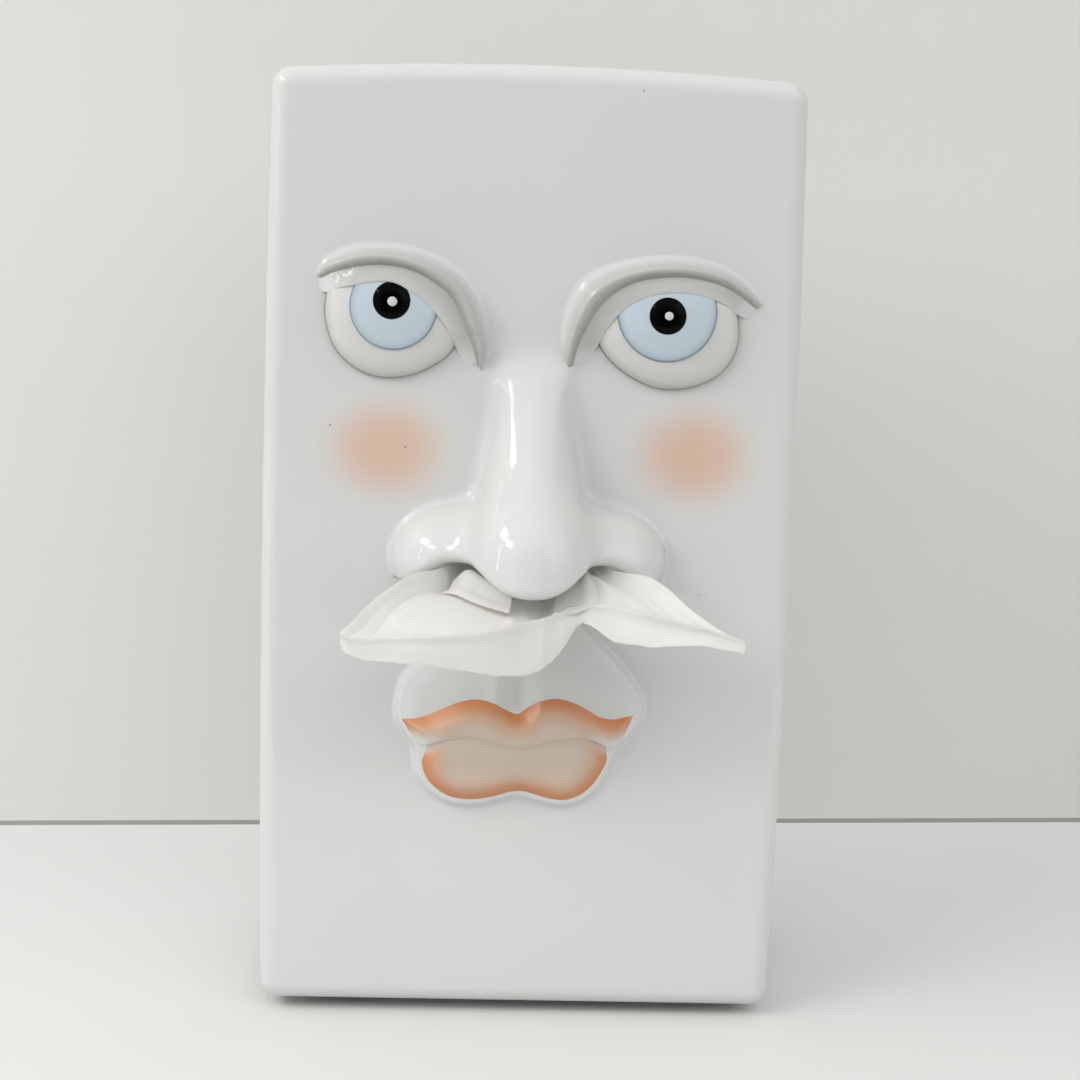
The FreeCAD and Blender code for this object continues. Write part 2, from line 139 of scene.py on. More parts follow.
def painted_white():
    """The cover's own finish: white glaze, two airbrushed cheeks and a few dark kiln specks."""
    finish = glazed("white_glazed_earthenware", "#d5d6d6", "#d0d2d1")
    place = add(finish, "TexCoord").outputs["Object"]
    for side, height in BLUSH_PLACES:
        scale = (1 / (BLUSH_RADII[0] * MM), 0.0, 1 / (BLUSH_RADII[1] * MM))
        shift = tuple(-value * MM * share for value, share in zip((side, 0.0, height), scale))
        about = add(finish, "Mapping", {"Vector": place, "Scale": scale, "Location": shift})
        reach = add(finish, "VectorMath", {0: about.outputs[0]}, operation="LENGTH")
        paint(finish, fade(finish, reach.outputs["Value"], *BLUSH_FADE), "#d6b9a7")
    for side, height in SPECKS:
        away = add(finish, "VectorMath", {0: place, 1: (side * MM, FRONT * MM, height * MM)},
                   operation="DISTANCE")
        reach = SPECK_RADIUS * MM
        paint(finish, fade(finish, away.outputs["Value"], reach / 2, reach, SPECK_STRENGTH), "#4d463e")
    return finish


def rounded_loop(half, low, high, radius, side_bow=0.0, top_bow=0.0):
    """One run round a rounded oblong, its sides and top bowed outwards."""
    turns = np.linspace(0, math.pi / 2, CORNER_STEPS + 1)
    corners = ((half - radius, low + radius, -0.5), (half - radius, high - radius, 0.0),
               (radius - half, high - radius, 0.5), (radius - half, low + radius, 1.0))
    arcs = []
    for x, z, start in corners:
        arcs.append(np.column_stack([x + radius * np.cos(turns + start * math.pi),
                                     z + radius * np.sin(turns + start * math.pi)]))
    run = []
    for arc, after in zip(arcs, arcs[1:] + arcs[:1]):
        run.append(arc[:-1])
        run.append(np.linspace(arc[-1], after[0], SIDE_STEPS + 1)[:-1])
    run = np.vstack(run + [arcs[0][:1]])
    x, z = run[:, 0].copy(), run[:, 1].copy()
    level = (2 * z - low - high) / (high - low)
    run[:, 0] = x * (1 + side_bow / half * (1 - level ** 2))
    run[:, 1] = z + top_bow * (1 - (x / half) ** 2) * (z - low) / (high - low)
    return run


def at_depth(run, y):
    """A run drawn on the front, set at one depth."""
    return np.column_stack([run[:, 0], np.full(len(run), y), run[:, 1]])


def box_ring(inset, y):
    """The box's outline, drawn in by an inset, at one depth."""
    radius = max(CORNER_RADIUS - inset, LEAST_OUTER_RADIUS)
    if inset >= WALL:
        radius = max(INNER_RADIUS + WALL - inset, LEAST_INNER_RADIUS)
    low, high = FOOT + inset, BOX_TOP - inset
    return at_depth(rounded_loop(BOX_HALF - inset, low, high, radius, SIDE_BOW, TOP_BOW), y)


def window_ring(y, growth=0.0):
    """The outline of the window behind the nose, let out by a growth, at one depth."""
    low, high = HAND_OUT - growth, HAND_OUT + WINDOW_HEAD + growth
    return at_depth(rounded_loop(WINDOW_HALF + growth, low, high, WINDOW_RADIUS + growth), y)


def formed(points, **painted):
    """A grid whose corners are moved to rows of points in millimetres, with what is painted on them."""
    rows, columns = points.shape[:2]
    clay = bmesh.new()
    layers = {key: clay.verts.layers.float.new(key) for key in painted}
    bmesh.ops.create_grid(clay, x_segments=columns - 1, y_segments=rows - 1, size=1.0)
    for corner in clay.verts:
        row = round((corner.co.y + 1) / 2 * (rows - 1))
        column = round((corner.co.x + 1) / 2 * (columns - 1))
        for key, layer in layers.items():
            corner[layer] = painted[key][row, column]
        corner.co = points[row, column] * MM
    bmesh.ops.remove_doubles(clay, verts=clay.verts, dist=MERGE * MM)
    return clay


def cast(name, clay, finish, crease=50.0):
    """Makes the piece's object, smooth but for its sharp edges."""
    if not any(edge.is_boundary for edge in clay.edges):
        bmesh.ops.recalc_face_normals(clay, faces=clay.faces)
    for face in clay.faces:
        face.smooth = True
    for edge in clay.edges:
        edge.smooth = edge.calc_face_angle(0.0) < math.radians(crease)
    mesh = bpy.data.meshes.new(name)
    clay.to_mesh(mesh)
    clay.free()
    mesh.materials.append(finish)
    made = bpy.data.objects.new(name, mesh)
    bpy.context.collection.objects.link(made)
    return made


quarter = np.linspace(0, math.pi / 2, 9)
rings = [window_ring(FRONT + WALL)]
inner_panel = box_ring(WALL + INNER_RADIUS, FRONT + WALL)
rings += [rings[0] + (inner_panel - rings[0]) * share for share in (0.05, 0.5, 0.95)]
rings += [box_ring(WALL + INNER_RADIUS * (1 - math.sin(a)), FRONT + WALL + INNER_RADIUS * (1 - math.cos(a)))
          for a in quarter]
rings += [box_ring(WALL, y) for y in np.linspace(*INSIDE_RUN, 6)]
rings += [box_ring(WALL - RIM_RADIUS * (1 - math.cos(a)), BACK - RIM_RADIUS * (1 - math.sin(a)))
          for a in quarter]
rings += [box_ring(RIM_RADIUS * (1 - math.sin(a)), BACK - RIM_RADIUS * (1 - math.cos(a)))
          for a in quarter]
rings += [box_ring(0.0, y) for y in np.linspace(*OUTSIDE_RUN, 7)]
rings += [box_ring(FRONT_EDGE_RADIUS * (1 - math.cos(a)), FRONT + FRONT_EDGE_RADIUS * (1 - math.sin(a)))
          for a in quarter]
front_panel = box_ring(FRONT_EDGE_RADIUS + PANEL_INSET, FRONT)
front_window = window_ring(FRONT, WINDOW_CHAMFER)
rings += [front_panel + (front_window - front_panel) * share for share in (0.0, 0.2, 0.5, 0.8, 1.0)]
rings += [window_ring(FRONT + CHAMFER_MIDDLE, CHAMFER_MIDDLE), window_ring(FRONT + WINDOW_CHAMFER),
          rings[0]]

white = painted_white()
box = cast("glazed_box", formed(np.array(rings)), white)
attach(box, "cover")
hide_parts("cover_body")

# Nose
# Cast in one with the box and hollow: a straight bridge, a hanging tip and two round wings that run
# softly into each other and into the flat of the face, with a thick rolled rim round the nostrils.
BRIDGE_HEAD = 55.0
BRIDGE_SLOPE = 0.66
BRIDGE_EASE = 6.0
BRIDGE_HALF = 9.2
BRIDGE_SPREAD = 6.5
SPREAD_RISE = 26.0
SPREAD_EASE = 7.0
BRIDGE_END_EASE = 4.0
BRIDGE_END_LIFT = 2.0
TIP = (0.0, 18.0, 4.0)
TIP_RADII = (15.5, 19.0, 18.0)
WING = (18.6, 0.0, 2.2)
WING_RADII = (17.6, 19.0, 14.2)
TIP_BLEND = 9.0
WING_BLEND = 7.0
WING_FOOT_BLEND = 1.9
BRIDGE_FOOT_BLEND = 4.2
FOOT_BLEND_RISES = (12.0, 30.0)
NOSE_WALL = 4.5
NOSE_REACH = 46.0
NOSE_HEAD = 64.0
HEAD_FADE = 13.0
FLANGE = 9.0
NOSE_CLEAR = 0.02
RIM_SHARE = 0.45
WING_SIDES = (28.0, 40.0)
NOSE_ROWS = 120
ROLL_STEPS = 10
WALK_START = 45.0
WALK_STEPS = 300
WALK_STRIDE = 0.85
RIM = [(0.0, -1.7), (5.0, -1.5), (8.0, -0.8), (10.5, 0.4), (13.0, 2.1), (15.5, 3.5), (18.5, 4.4),
       (21.5, 4.2), (25.0, 2.7), (29.0, -0.3), (33.0, -3.8), (37.0, -6.6), (42.0, -8.5), (48.0, -9.0)]


def smooth_line(guides, shares):
    """Points at the given shares of the way along a smooth line through guide points."""
    guides = np.array(guides, float)
    runs = np.linalg.norm(np.diff(guides, axis=0), axis=1)
    steps = np.r_[0.0, np.cumsum(runs)] / runs.sum()
    slopes = np.gradient(guides, steps, axis=0)
    at = np.clip(np.searchsorted(steps, shares, side="right") - 1, 0, len(steps) - 2)
    span = (steps[at + 1] - steps[at])[:, None]
    t = (np.asarray(shares)[:, None] - steps[at][:, None]) / span
    return (guides[at] * (1 + 2 * t) * (1 - t) ** 2 + slopes[at] * span * t * (1 - t) ** 2
            + guides[at + 1] * t ** 2 * (3 - 2 * t) + slopes[at + 1] * span * t ** 2 * (t - 1))


def on_face(side, out, rise):
    """Points given by side, how far they stand out of the face, and rise above the window's sill."""
    side, out, rise = np.broadcast_arrays(side, out, rise)
    return np.stack([side, FRONT - out, HAND_OUT + rise], axis=-1)


def blend_gap(a, b, reach):
    """The gap to two forms that melt into each other over a reach."""
    near = np.clip(1 - np.abs(a - b) / reach, 0, 1)
    return np.minimum(a, b) - near * near * reach / 4


def egg_gap(point, centre, radii):
    """How far a point is outside an egg-shaped form, closely enough to walk up to it."""
    parts = [(p - c) / r for p, c, r in zip(point, centre, radii)]
    level = np.sqrt(sum(part ** 2 for part in parts))
    lean = np.sqrt(sum((part / r) ** 2 for part, r in zip(parts, radii)))
    return level * (level - 1) / np.maximum(lean, 1e-9)


def smooth_step(low, high, value):
    """A share from 0 at the low value to 1 at the high one, level at both ends."""
    share = np.clip((value - low) / (high - low), 0, 1)
    return share * share * (3 - 2 * share)


def nose_gap(side, out, rise):
    """How far a point is outside the nose: bridge, tip and wings melted together and into the face."""
    stand = BRIDGE_SLOPE * BRIDGE_EASE * np.log1p(np.exp((BRIDGE_HEAD - rise) / BRIDGE_EASE))
    half = BRIDGE_HALF + BRIDGE_SPREAD / (1 + np.exp((rise - SPREAD_RISE) / SPREAD_EASE))
    bridge = egg_gap((side, out), (0.0, 0.0), (half, stand))
    bridge = bridge + BRIDGE_END_LIFT * np.log1p(np.exp((rise - BRIDGE_HEAD) / BRIDGE_END_EASE))
    tip = egg_gap((side, out, rise), TIP, TIP_RADII)
    wing = egg_gap((np.abs(side), out, rise), WING, WING_RADII)
    form = blend_gap(blend_gap(bridge, tip, TIP_BLEND), wing, WING_BLEND)
    foot = WING_FOOT_BLEND + (BRIDGE_FOOT_BLEND - WING_FOOT_BLEND) * smooth_step(*FOOT_BLEND_RISES, rise)
    return blend_gap(form, out, foot)


rim_line = smooth_line(RIM, np.linspace(0, 1, 400))
half_sides = np.r_[np.linspace(0, WING_SIDES[0], 46), np.linspace(*WING_SIDES, 36)[1:],
                   np.linspace(WING_SIDES[1], NOSE_REACH, 7)[1:]]
sides = np.r_[-half_sides[:0:-1], half_sides]
rim_rise = np.interp(np.abs(sides), rim_line[:, 0], rim_line[:, 1]) + RIM_SHARE * NOSE_WALL
fine = np.linspace(0, 1, 320)[:, None]
rises = NOSE_HEAD + (rim_rise - NOSE_HEAD) * fine
outs = np.full_like(rises, WALK_START)
for step in range(WALK_STEPS):
    outs = np.maximum(outs - WALK_STRIDE * nose_gap(sides[None, :], outs, rises), 0.0)
outs *= smooth_step(NOSE_HEAD, NOSE_HEAD - HEAD_FADE, rises)
skin = np.zeros((NOSE_ROWS, len(sides), 3))
for column in range(len(sides)):
    run = np.hypot(np.diff(rises[:, column]), np.diff(outs[:, column]))
    along = np.r_[0.0, np.cumsum(run)]
    even = np.linspace(0, along[-1], NOSE_ROWS)
    skin[:, column] = on_face(sides[column], np.interp(even, along, outs[:, column]) + NOSE_CLEAR,
                              np.interp(even, along, rises[:, column]))
across = np.gradient(skin, axis=1)
down = np.gradient(skin, axis=0)
outwards = np.cross(across, down)
outwards /= np.linalg.norm(outwards, axis=2, keepdims=True)
outwards *= np.where(outwards[..., 1:2] > 0, -1, 1)
down /= np.linalg.norm(down, axis=2, keepdims=True)
flange = smooth_step(0, FLANGE, NOSE_REACH - np.abs(skin[..., 0]))
flange *= smooth_step(0, FLANGE, HAND_OUT + NOSE_HEAD - skin[..., 2])
wall = (NOSE_WALL * flange)[..., None]
lining = skin - outwards * wall
roll = []
for turn in np.linspace(0, math.pi, ROLL_STEPS + 1)[1:-1]:
    roll.append(skin[-1] + wall[-1] / 2 * (down[-1] * math.sin(turn) - outwards[-1] * (1 - math.cos(turn))))
nose = cast("nose_relief", formed(np.concatenate([skin, np.array(roll), lining[::-1]])), white, 70.0)
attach(nose, "cover")
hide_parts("nose")

# Raised ground of the mouth
# Part of the cast: a soft swelling from under the nose to a narrow ledge round the lower lip, with
# the upper lip's groove and its two low ridges pressed down the middle.
MOUND_OUTLINE = [
    (-13.0, -4.0), (-2.0, -3.0), (10.0, -4.0), (13.5, -12.0), (19.0, -18.5), (24.5, -24.4), (27.9, -28.2),
    (31.0, -32.9), (32.3, -37.3), (31.7, -41.2), (29.3, -44.9), (26.4, -48.0), (24.8, -52.0),
    (23.0, -56.6), (20.0, -60.9), (15.4, -64.1), (9.0, -65.0), (3.4, -63.7), (-1.0, -62.7), (-6.2, -63.9),
    (-13.0, -65.4), (-19.8, -64.6), (-25.0, -61.4), (-28.1, -57.2), (-28.9, -52.5), (-29.2, -49.2),
    (-31.1, -46.6), (-33.7, -42.7), (-34.3, -39.3), (-33.9, -35.4), (-32.4, -30.5), (-28.0, -25.5),
    (-22.0, -19.0), (-16.0, -12.0), (-13.0, -4.0)]
MOUTH_MIDDLE = -1.3
MOUND_RISE = -44.0
MOUND_RADII = (38.0, 7.0, 42.0)
LEDGE_OUT = 3.3
LEDGE_RISES = (-46.0, -57.0)
EDGE_STEP = (-0.6, 1.5)
EDGE_STEP_SHARE = 0.8
EDGE_SWELL = 6.0
GROOVE_HALF = 2.9
GROOVE_DEPTH = 1.7
GROOVE_HEAD = (-4.0, -12.0)
GROOVE_FOOT = (-41.0, -35.0)
RIDGE_SIDE = 6.4
RIDGE_HALF = 2.2
RIDGE_LIFT = 0.6
GROUND_SIDES = (-38.0, 36.0)
GROUND_RISES = (0.0, -69.0)
GROUND_COLUMNS = 171
GROUND_ROWS = 160
GROUND_CLEAR = 0.015


def distance_to(line, side, rise):
    """How far points of the face are from a drawn line."""
    starts, ends = line[:-1], line[1:]
    runs = ends - starts
    lengths = np.maximum((runs ** 2).sum(1), 1e-12)
    flat = np.stack([np.ravel(side), np.ravel(rise)], axis=1)
    nearest = np.full(len(flat), 1e9)
    for start, run, length in zip(starts, runs, lengths):
        share = np.clip(((flat - start) @ run) / length, 0, 1)[:, None]
        nearest = np.minimum(nearest, np.linalg.norm(flat - start - share * run, axis=1))
    return nearest.reshape(np.shape(side))


def inside(line, side, rise):
    """Which points of the face lie within a closed line."""
    odd = np.zeros(np.shape(side), bool)
    for (x0, z0), (x1, z1) in zip(line[:-1], line[1:]):
        spans = (z0 > rise) != (z1 > rise)
        reach = x0 + (rise - z0) * (x1 - x0) / (z1 - z0 if z1 != z0 else 1e-9)
        odd ^= spans & (side < reach)
    return odd


def set_in_wall(clay, depth=1.5):
    """Closes an open relief behind: its edge runs back into the front wall and is filled there."""
    edge = [one for one in clay.edges if one.is_boundary]
    for part in bmesh.ops.extrude_edge_only(clay, edges=edge)["geom"]:
        if isinstance(part, bmesh.types.BMVert):
            part.co.y = (FRONT + depth) * MM
    bmesh.ops.edgeloop_fill(clay, edges=[one for one in clay.edges if one.is_boundary])
    return clay


def dome(side, rise, centre, radii):
    """How far an egg-shaped swelling stands out."""
    level = 1 - ((side - centre[0]) / radii[0]) ** 2 - ((rise - centre[1]) / radii[2]) ** 2
    return radii[1] * np.sqrt(np.maximum(level, 0))


mound_edge = smooth_line(MOUND_OUTLINE, np.linspace(0, 1, 260))


def mound_out(side, rise):
    """How far the raised ground stands out."""
    depth_in = distance_to(mound_edge, side, rise) * np.where(inside(mound_edge, side, rise), 1, -1)
    swell = dome(side, rise, (MOUTH_MIDDLE, MOUND_RISE), MOUND_RADII)
    swell = swell + (LEDGE_OUT - swell) * smooth_step(*LEDGE_RISES, rise)
    deep = smooth_step(0, EDGE_SWELL, depth_in)
    swell = swell * (EDGE_STEP_SHARE * smooth_step(*EDGE_STEP, depth_in) + (1 - EDGE_STEP_SHARE) * deep)
    channel = smooth_step(*GROOVE_HEAD, rise) * smooth_step(*GROOVE_FOOT, rise) * deep
    swell = swell - GROOVE_DEPTH * channel * np.exp(-((side - MOUTH_MIDDLE) / GROOVE_HALF) ** 2)
    for hand in (-1, 1):
        ridge = np.exp(-((side - MOUTH_MIDDLE - hand * RIDGE_SIDE) / RIDGE_HALF) ** 2)
        swell = swell + RIDGE_LIFT * ridge * channel
    return swell


side, rise = np.meshgrid(np.linspace(*GROUND_SIDES, GROUND_COLUMNS), np.linspace(*GROUND_RISES, GROUND_ROWS))
ground = on_face(side, mound_out(side, rise) + GROUND_CLEAR, rise)
mound = cast("mouth_ground", set_in_wall(formed(ground)), white)
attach(mound, "cover")
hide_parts("philtrum_mound")

# Lips
# Modelled on the raised ground and left crisp at their outer edge; airbrushed terracotta under the glaze,
# strongest along that edge and dying away to bare clay where they meet. Along the mouth line the lower lip is
# darkened with painted shade, as if under the upper lip.
UPPER_EDGE = [
    (-32.2, -41.2), (-29.5, -40.9), (-26.2, -40.0), (-21.6, -37.8), (-16.9, -35.7), (-11.8, -34.9),
    (-8.0, -35.7), (-4.6, -37.6), (-1.5, -38.6), (1.0, -36.8), (4.2, -34.9), (7.9, -34.2), (12.2, -35.0),
    (16.5, -37.0), (20.4, -39.2), (24.3, -39.8), (27.1, -39.2), (29.1, -39.0)]
UPPER_MOUTH = [
    (-28.6, -46.7), (-26.4, -47.3), (-23.2, -46.4), (-18.5, -45.4), (-14.3, -44.8), (-10.1, -45.3),
    (-5.8, -46.4), (-2.5, -47.3), (-0.1, -47.4), (2.7, -46.7), (5.9, -45.5), (10.6, -44.6), (15.4, -44.4),
    (19.3, -45.3), (23.4, -47.0), (26.0, -46.5)]
LOWER_MOUTH = [
    (-25.2, -47.6), (-22.4, -45.2), (-18.5, -43.8), (-14.3, -43.2), (-10.1, -43.7), (-5.8, -44.8),
    (-2.5, -45.6), (-0.1, -45.8), (2.7, -45.1), (5.9, -43.9), (10.6, -43.0), (15.4, -42.9), (18.8, -43.9),
    (21.8, -46.4)]
LOWER_EDGE = [
    (-25.7, -49.8), (-26.5, -52.7), (-25.6, -56.6), (-22.9, -59.9), (-19.0, -62.2), (-15.2, -62.9),
    (-10.5, -62.7), (-5.8, -61.6), (-2.0, -60.5), (0.8, -60.5), (4.2, -61.4), (8.0, -62.4), (11.8, -62.6),
    (15.5, -61.3), (18.8, -58.5), (21.0, -55.1), (22.5, -50.8), (22.2, -48.6)]
LIP_COLUMNS = 150
LIP_ROWS = 34
LIP_SWELL = 3.2
LIP_REACH = 5.5
LIP_CLEAR = 0.03
UPPER_MEET = (5.0, 1.6, 0.65)
LOWER_MEET = (7.0, 1.6, -0.1)
LIFT_EDGE = 6.0
MEET_EDGE = 5.0
BARE_ENDS = (17.0, 26.0)
BARE_MEETING = (4.2, 0.2)
PAINTED_SHADE_MEETING = (9.0, 1.5)
LOWER_PAINTED_SHADE = 0.75
SPRAY_GRAIN = 4.0
SPRAY_SCATTER = 1.6
EDGE_BUNCHING = 0.6

# Airbrushed stain under a slightly duller glaze: grainy where the spray thins out towards bare clay, with
# painted shade on the lower lip along the mouth line.
lip_paint = glazed("terracotta_airbrushed_glaze_with_painted_shade", "#c9baad", "#c4b4a7", 0.3)
from_edge = add(lip_paint, "Attribute", attribute_name="from_edge").outputs["Fac"]
shaded = add(lip_paint, "Attribute", attribute_name="shaded").outputs["Fac"]
bare = add(lip_paint, "Attribute", attribute_name="bare").outputs["Fac"]
grain = add(lip_paint, "TexNoise", {"Vector": add(lip_paint, "TexCoord").outputs["Object"],
                                    "Scale": 1 / (SPRAY_GRAIN * MM), "Detail": 4.0})
spray = add(lip_paint, "Math", {0: grain.outputs["Fac"], 1: SPRAY_SCATTER, 2: from_edge},
            operation="MULTIPLY_ADD")
# Painted shade: the lower lip's band along the mouth line, darkened where the upper lip would shade it.
paint(lip_paint, shaded, "#bfb4a7")
paint(lip_paint, fade(lip_paint, spray.outputs[0], 1.2, 9.5, 0.9), "#c89672")
paint(lip_paint, fade(lip_paint, spray.outputs[0], 0.7, 5.0, 0.95), "#cb8152")
paint(lip_paint, bare, "#d2d1cd")
cosine = (1 - np.cos(np.linspace(0, math.pi, LIP_ROWS))) / 2
spread = (1 - np.cos(np.linspace(0, math.pi, LIP_COLUMNS))) / 2 * EDGE_BUNCHING
spread += np.linspace(0, 1, LIP_COLUMNS) * (1 - EDGE_BUNCHING)
for name, node, edge, mouth, (reach, drop, lift), shade in (
        ("upper_lip_relief", "upper_lip", UPPER_EDGE, UPPER_MOUTH, UPPER_MEET, 0.0),
        ("lower_lip_relief", "lower_lip", LOWER_EDGE, LOWER_MOUTH, LOWER_MEET, LOWER_PAINTED_SHADE)):
    outer = smooth_line(edge, spread)
    inner = smooth_line(mouth, spread)
    flat = outer[None] + (inner - outer)[None] * cosine[:, None, None]
    side, rise = flat[..., 0], flat[..., 1]
    ends = [np.array([outer[0], inner[0]]), np.array([outer[-1], inner[-1]])]
    away = np.minimum.reduce([distance_to(line, side, rise) for line in [outer] + ends])
    meeting = distance_to(inner, side, rise)
    out = mound_out(side, rise) + LIP_SWELL * np.sin(math.pi / 2 * np.clip(away / LIP_REACH, 0, 1))
    closing = (1 - np.clip(meeting / reach, 0, 1)) ** 2 * smooth_step(0, MEET_EDGE, away)
    skin = on_face(side, out + lift * smooth_step(0, LIFT_EDGE, away) - drop * closing + LIP_CLEAR, rise)
    ended = smooth_step(*BARE_ENDS, np.abs(side - MOUTH_MIDDLE)) * smooth_step(*BARE_MEETING, meeting)
    clay = formed(skin, from_edge=distance_to(outer, side, rise), bare=ended,
                  shaded=shade * smooth_step(*PAINTED_SHADE_MEETING, meeting))
    lip = cast(name, set_in_wall(clay), lip_paint)
    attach(lip, "cover")
    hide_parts(node)

# Eyes
# Each eyeball is a low swelling of the cast with a dark grey line round its foot, partly brushed stain and
# partly painted shade where it meets the face; the iris is a raised disc of pale blue with painted shade
# round its rim, the pupil a glossy black drop with one dot of white on it.
EYES = {
    "left": {
        "ball": [(-54.5, 69.7), (-54.7, 65.5), (-53.9, 61.1), (-52.5, 57.1), (-49.7, 53.4), (-45.6, 50.5),
                 (-40.8, 48.9), (-35.7, 48.8), (-30.6, 49.9), (-26.3, 52.0), (-22.9, 54.3), (-20.6, 57.2),
                 (-19.8, 62.0), (-22.0, 70.0), (-28.0, 78.0), (-37.0, 81.0), (-47.0, 79.5), (-53.0, 74.5),
                 (-54.5, 69.7)],
        "centre": (-37.2, 66.0), "iris": (-36.7, 67.8, 11.4),
        "pupil": (-37.2, 69.3, 4.8), "dot": (-37.0, 69.1, 1.25),
        "lid": [(-56.6, 71.4), (-54.3, 70.9), (-50.5, 72.3), (-47.2, 73.0), (-44.5, 73.6), (-41.2, 74.1),
                (-37.2, 74.1), (-32.8, 72.2), (-29.7, 70.3), (-27.0, 68.0), (-24.9, 65.7), (-22.8, 62.7),
                (-21.0, 59.3), (-19.4, 55.8), (-16.8, 52.0)],
        "groove": [(-55.8, 74.2), (-53.1, 75.4), (-49.7, 76.5), (-45.7, 77.5), (-41.3, 78.0),
                   (-37.0, 77.8), (-32.9, 77.0), (-29.2, 75.5), (-25.8, 73.4), (-23.0, 71.3),
                   (-20.9, 68.7), (-19.2, 65.0), (-17.4, 61.0), (-15.9, 57.2), (-14.6, 52.6)],
        "brow": [(-57.2, 75.0), (-55.3, 78.2), (-51.6, 80.6), (-47.2, 82.2), (-41.5, 82.8), (-34.8, 82.3),
                 (-29.3, 81.0), (-24.6, 79.1), (-19.4, 75.6), (-15.9, 71.3), (-13.4, 65.6), (-12.1, 60.6),
                 (-12.0, 55.5), (-13.4, 51.0)]},
    "right": {
        "ball": [(53.1, 66.2), (53.4, 62.7), (52.9, 58.7), (50.9, 54.4), (47.5, 51.0), (42.9, 48.8),
                 (37.5, 47.7), (32.1, 47.9), (26.7, 49.8), (22.3, 52.5), (18.9, 55.6), (16.7, 58.8),
                 (16.6, 63.0), (19.5, 70.5), (26.0, 77.5), (35.5, 80.0), (45.0, 78.0), (51.0, 72.5),
                 (53.1, 66.2)],
        "centre": (34.8, 65.2), "iris": (33.9, 68.2, 13.0),
        "pupil": (33.9, 67.3, 4.75), "dot": (34.1, 67.4, 1.1),
        "lid": [(57.0, 66.2), (52.6, 68.1), (49.5, 70.3), (46.1, 71.9), (42.8, 72.9), (38.4, 73.5),
                (34.2, 73.4), (29.9, 72.7), (26.5, 71.4), (23.0, 69.2), (20.7, 66.8), (18.7, 63.9),
                (17.1, 60.9), (16.0, 58.3), (13.9, 54.6), (11.5, 52.2)],
        "groove": [(57.6, 69.4), (53.6, 72.1), (50.2, 74.1), (46.9, 75.5), (43.2, 76.4), (39.3, 77.0),
                   (35.7, 77.1), (31.8, 76.8), (27.9, 76.2), (24.4, 75.0), (21.3, 73.3), (18.5, 71.1),
                   (15.8, 67.9), (13.5, 63.9), (11.8, 60.3), (10.6, 56.3), (9.9, 52.6)],
        "brow": [(59.6, 70.6), (54.3, 75.9), (48.8, 79.2), (41.5, 81.2), (34.4, 81.6), (27.3, 80.9),
                 (20.9, 79.4), (16.0, 77.4), (12.5, 74.9), (10.2, 71.4), (8.5, 67.1), (7.6, 62.8),
                 (7.2, 57.4), (8.3, 51.6)]}}
BALL_OUT = 6.8
BALL_SINK = 0.1
HIDDEN_SINK = 4.0
HIDDEN_RISES = (1.0, 6.0)
IRIS_LIFT = 0.45
IRIS_EDGE_RADIUS = 0.7
IRIS_EDGE_DROP = 0.65
PUPIL_CLEAR = 0.1
PUPIL_LIFT = 1.15
DOT_SINK = 0.08
DOT_LIFT = 0.3
DOT_CROWN = 0.995
DISC_COLUMNS = 97
DISC_ROWS = 26


def rounded_off(away, radius, lift):
    """How much a rounded edge falls away, by the distance from it."""
    return lift * (1 - np.sqrt(1 - (1 - np.clip(away / radius, 0, 1)) ** 2))


def ball_out(eye, side, rise):
    """How far the eyeball stands out, sinking away where the lid hides it."""
    ring = smooth_line(eye["ball"], np.linspace(0, 1, 241)) - eye["centre"]
    bearing = np.arctan2(ring[:, 1], ring[:, 0])
    order = np.argsort(bearing)
    away = np.stack([side - eye["centre"][0], rise - eye["centre"][1]])
    reach = np.interp(np.arctan2(away[1], away[0]), bearing[order], np.hypot(*ring.T)[order],
                      period=2 * math.pi)
    level = np.clip(np.hypot(*away) / reach, 0, 1)
    lid = np.array(sorted(eye["lid"]))
    above = rise - np.interp(side, lid[:, 0], lid[:, 1])
    return BALL_OUT * np.sqrt(1 - level ** 2) - HIDDEN_SINK * smooth_step(*HIDDEN_RISES, above)


def disc(middle, ring):
    """Rows of points from the middle of a drawn ring out to it."""
    shares = np.sin(np.linspace(0, math.pi / 2, DISC_ROWS))
    flat = np.array(middle) + shares[:, None, None] * (ring - np.array(middle))[None]
    return flat[..., 0], flat[..., 1], np.broadcast_to(shares[:, None], flat.shape[:2])


def circle(side, rise, radius):
    """A round ring drawn on the face."""
    turns = np.linspace(0, 2 * math.pi, DISC_COLUMNS)
    return np.column_stack([side + radius * np.cos(turns), rise + radius * np.sin(turns)])


# White glaze, darkened softly towards the foot of the eyeball with painted shade where it curves down into
# the face, and a thin dark grey line at the very foot, partly stain gathered at the joint and partly painted
# shade.
ball_white = glazed("white_glazed_eyeball", "#d3d3d1", "#cecdca")
ball_share = add(ball_white, "Attribute", attribute_name="share").outputs["Fac"]
paint(ball_white, fade(ball_white, ball_share, 1.0, 0.86, 0.35), "#a29e96")
paint(ball_white, fade(ball_white, ball_share, 0.995, 0.965, 0.9), "#6b665e")
# Pale blue stain under clear glaze, darkened towards the rim and in a thin ring at its edge with painted
# shade where the raised disc steps down onto the eyeball.
blue = glazed("pale_blue_glaze", "#c1ced8", "#bac7d1")
iris_share = add(blue, "Attribute", attribute_name="share").outputs["Fac"]
paint(blue, fade(blue, iris_share, 1.0, 0.80, 0.5), "#8fa3b3")
paint(blue, fade(blue, iris_share, 0.99, 0.93, 0.8), "#6c7f8c")
# Glossy black overglaze, so dark that only its sharp reflections show its form.
black = glazed("black_gloss_glaze", "#020202", "#030303", 0.05, 1.16)
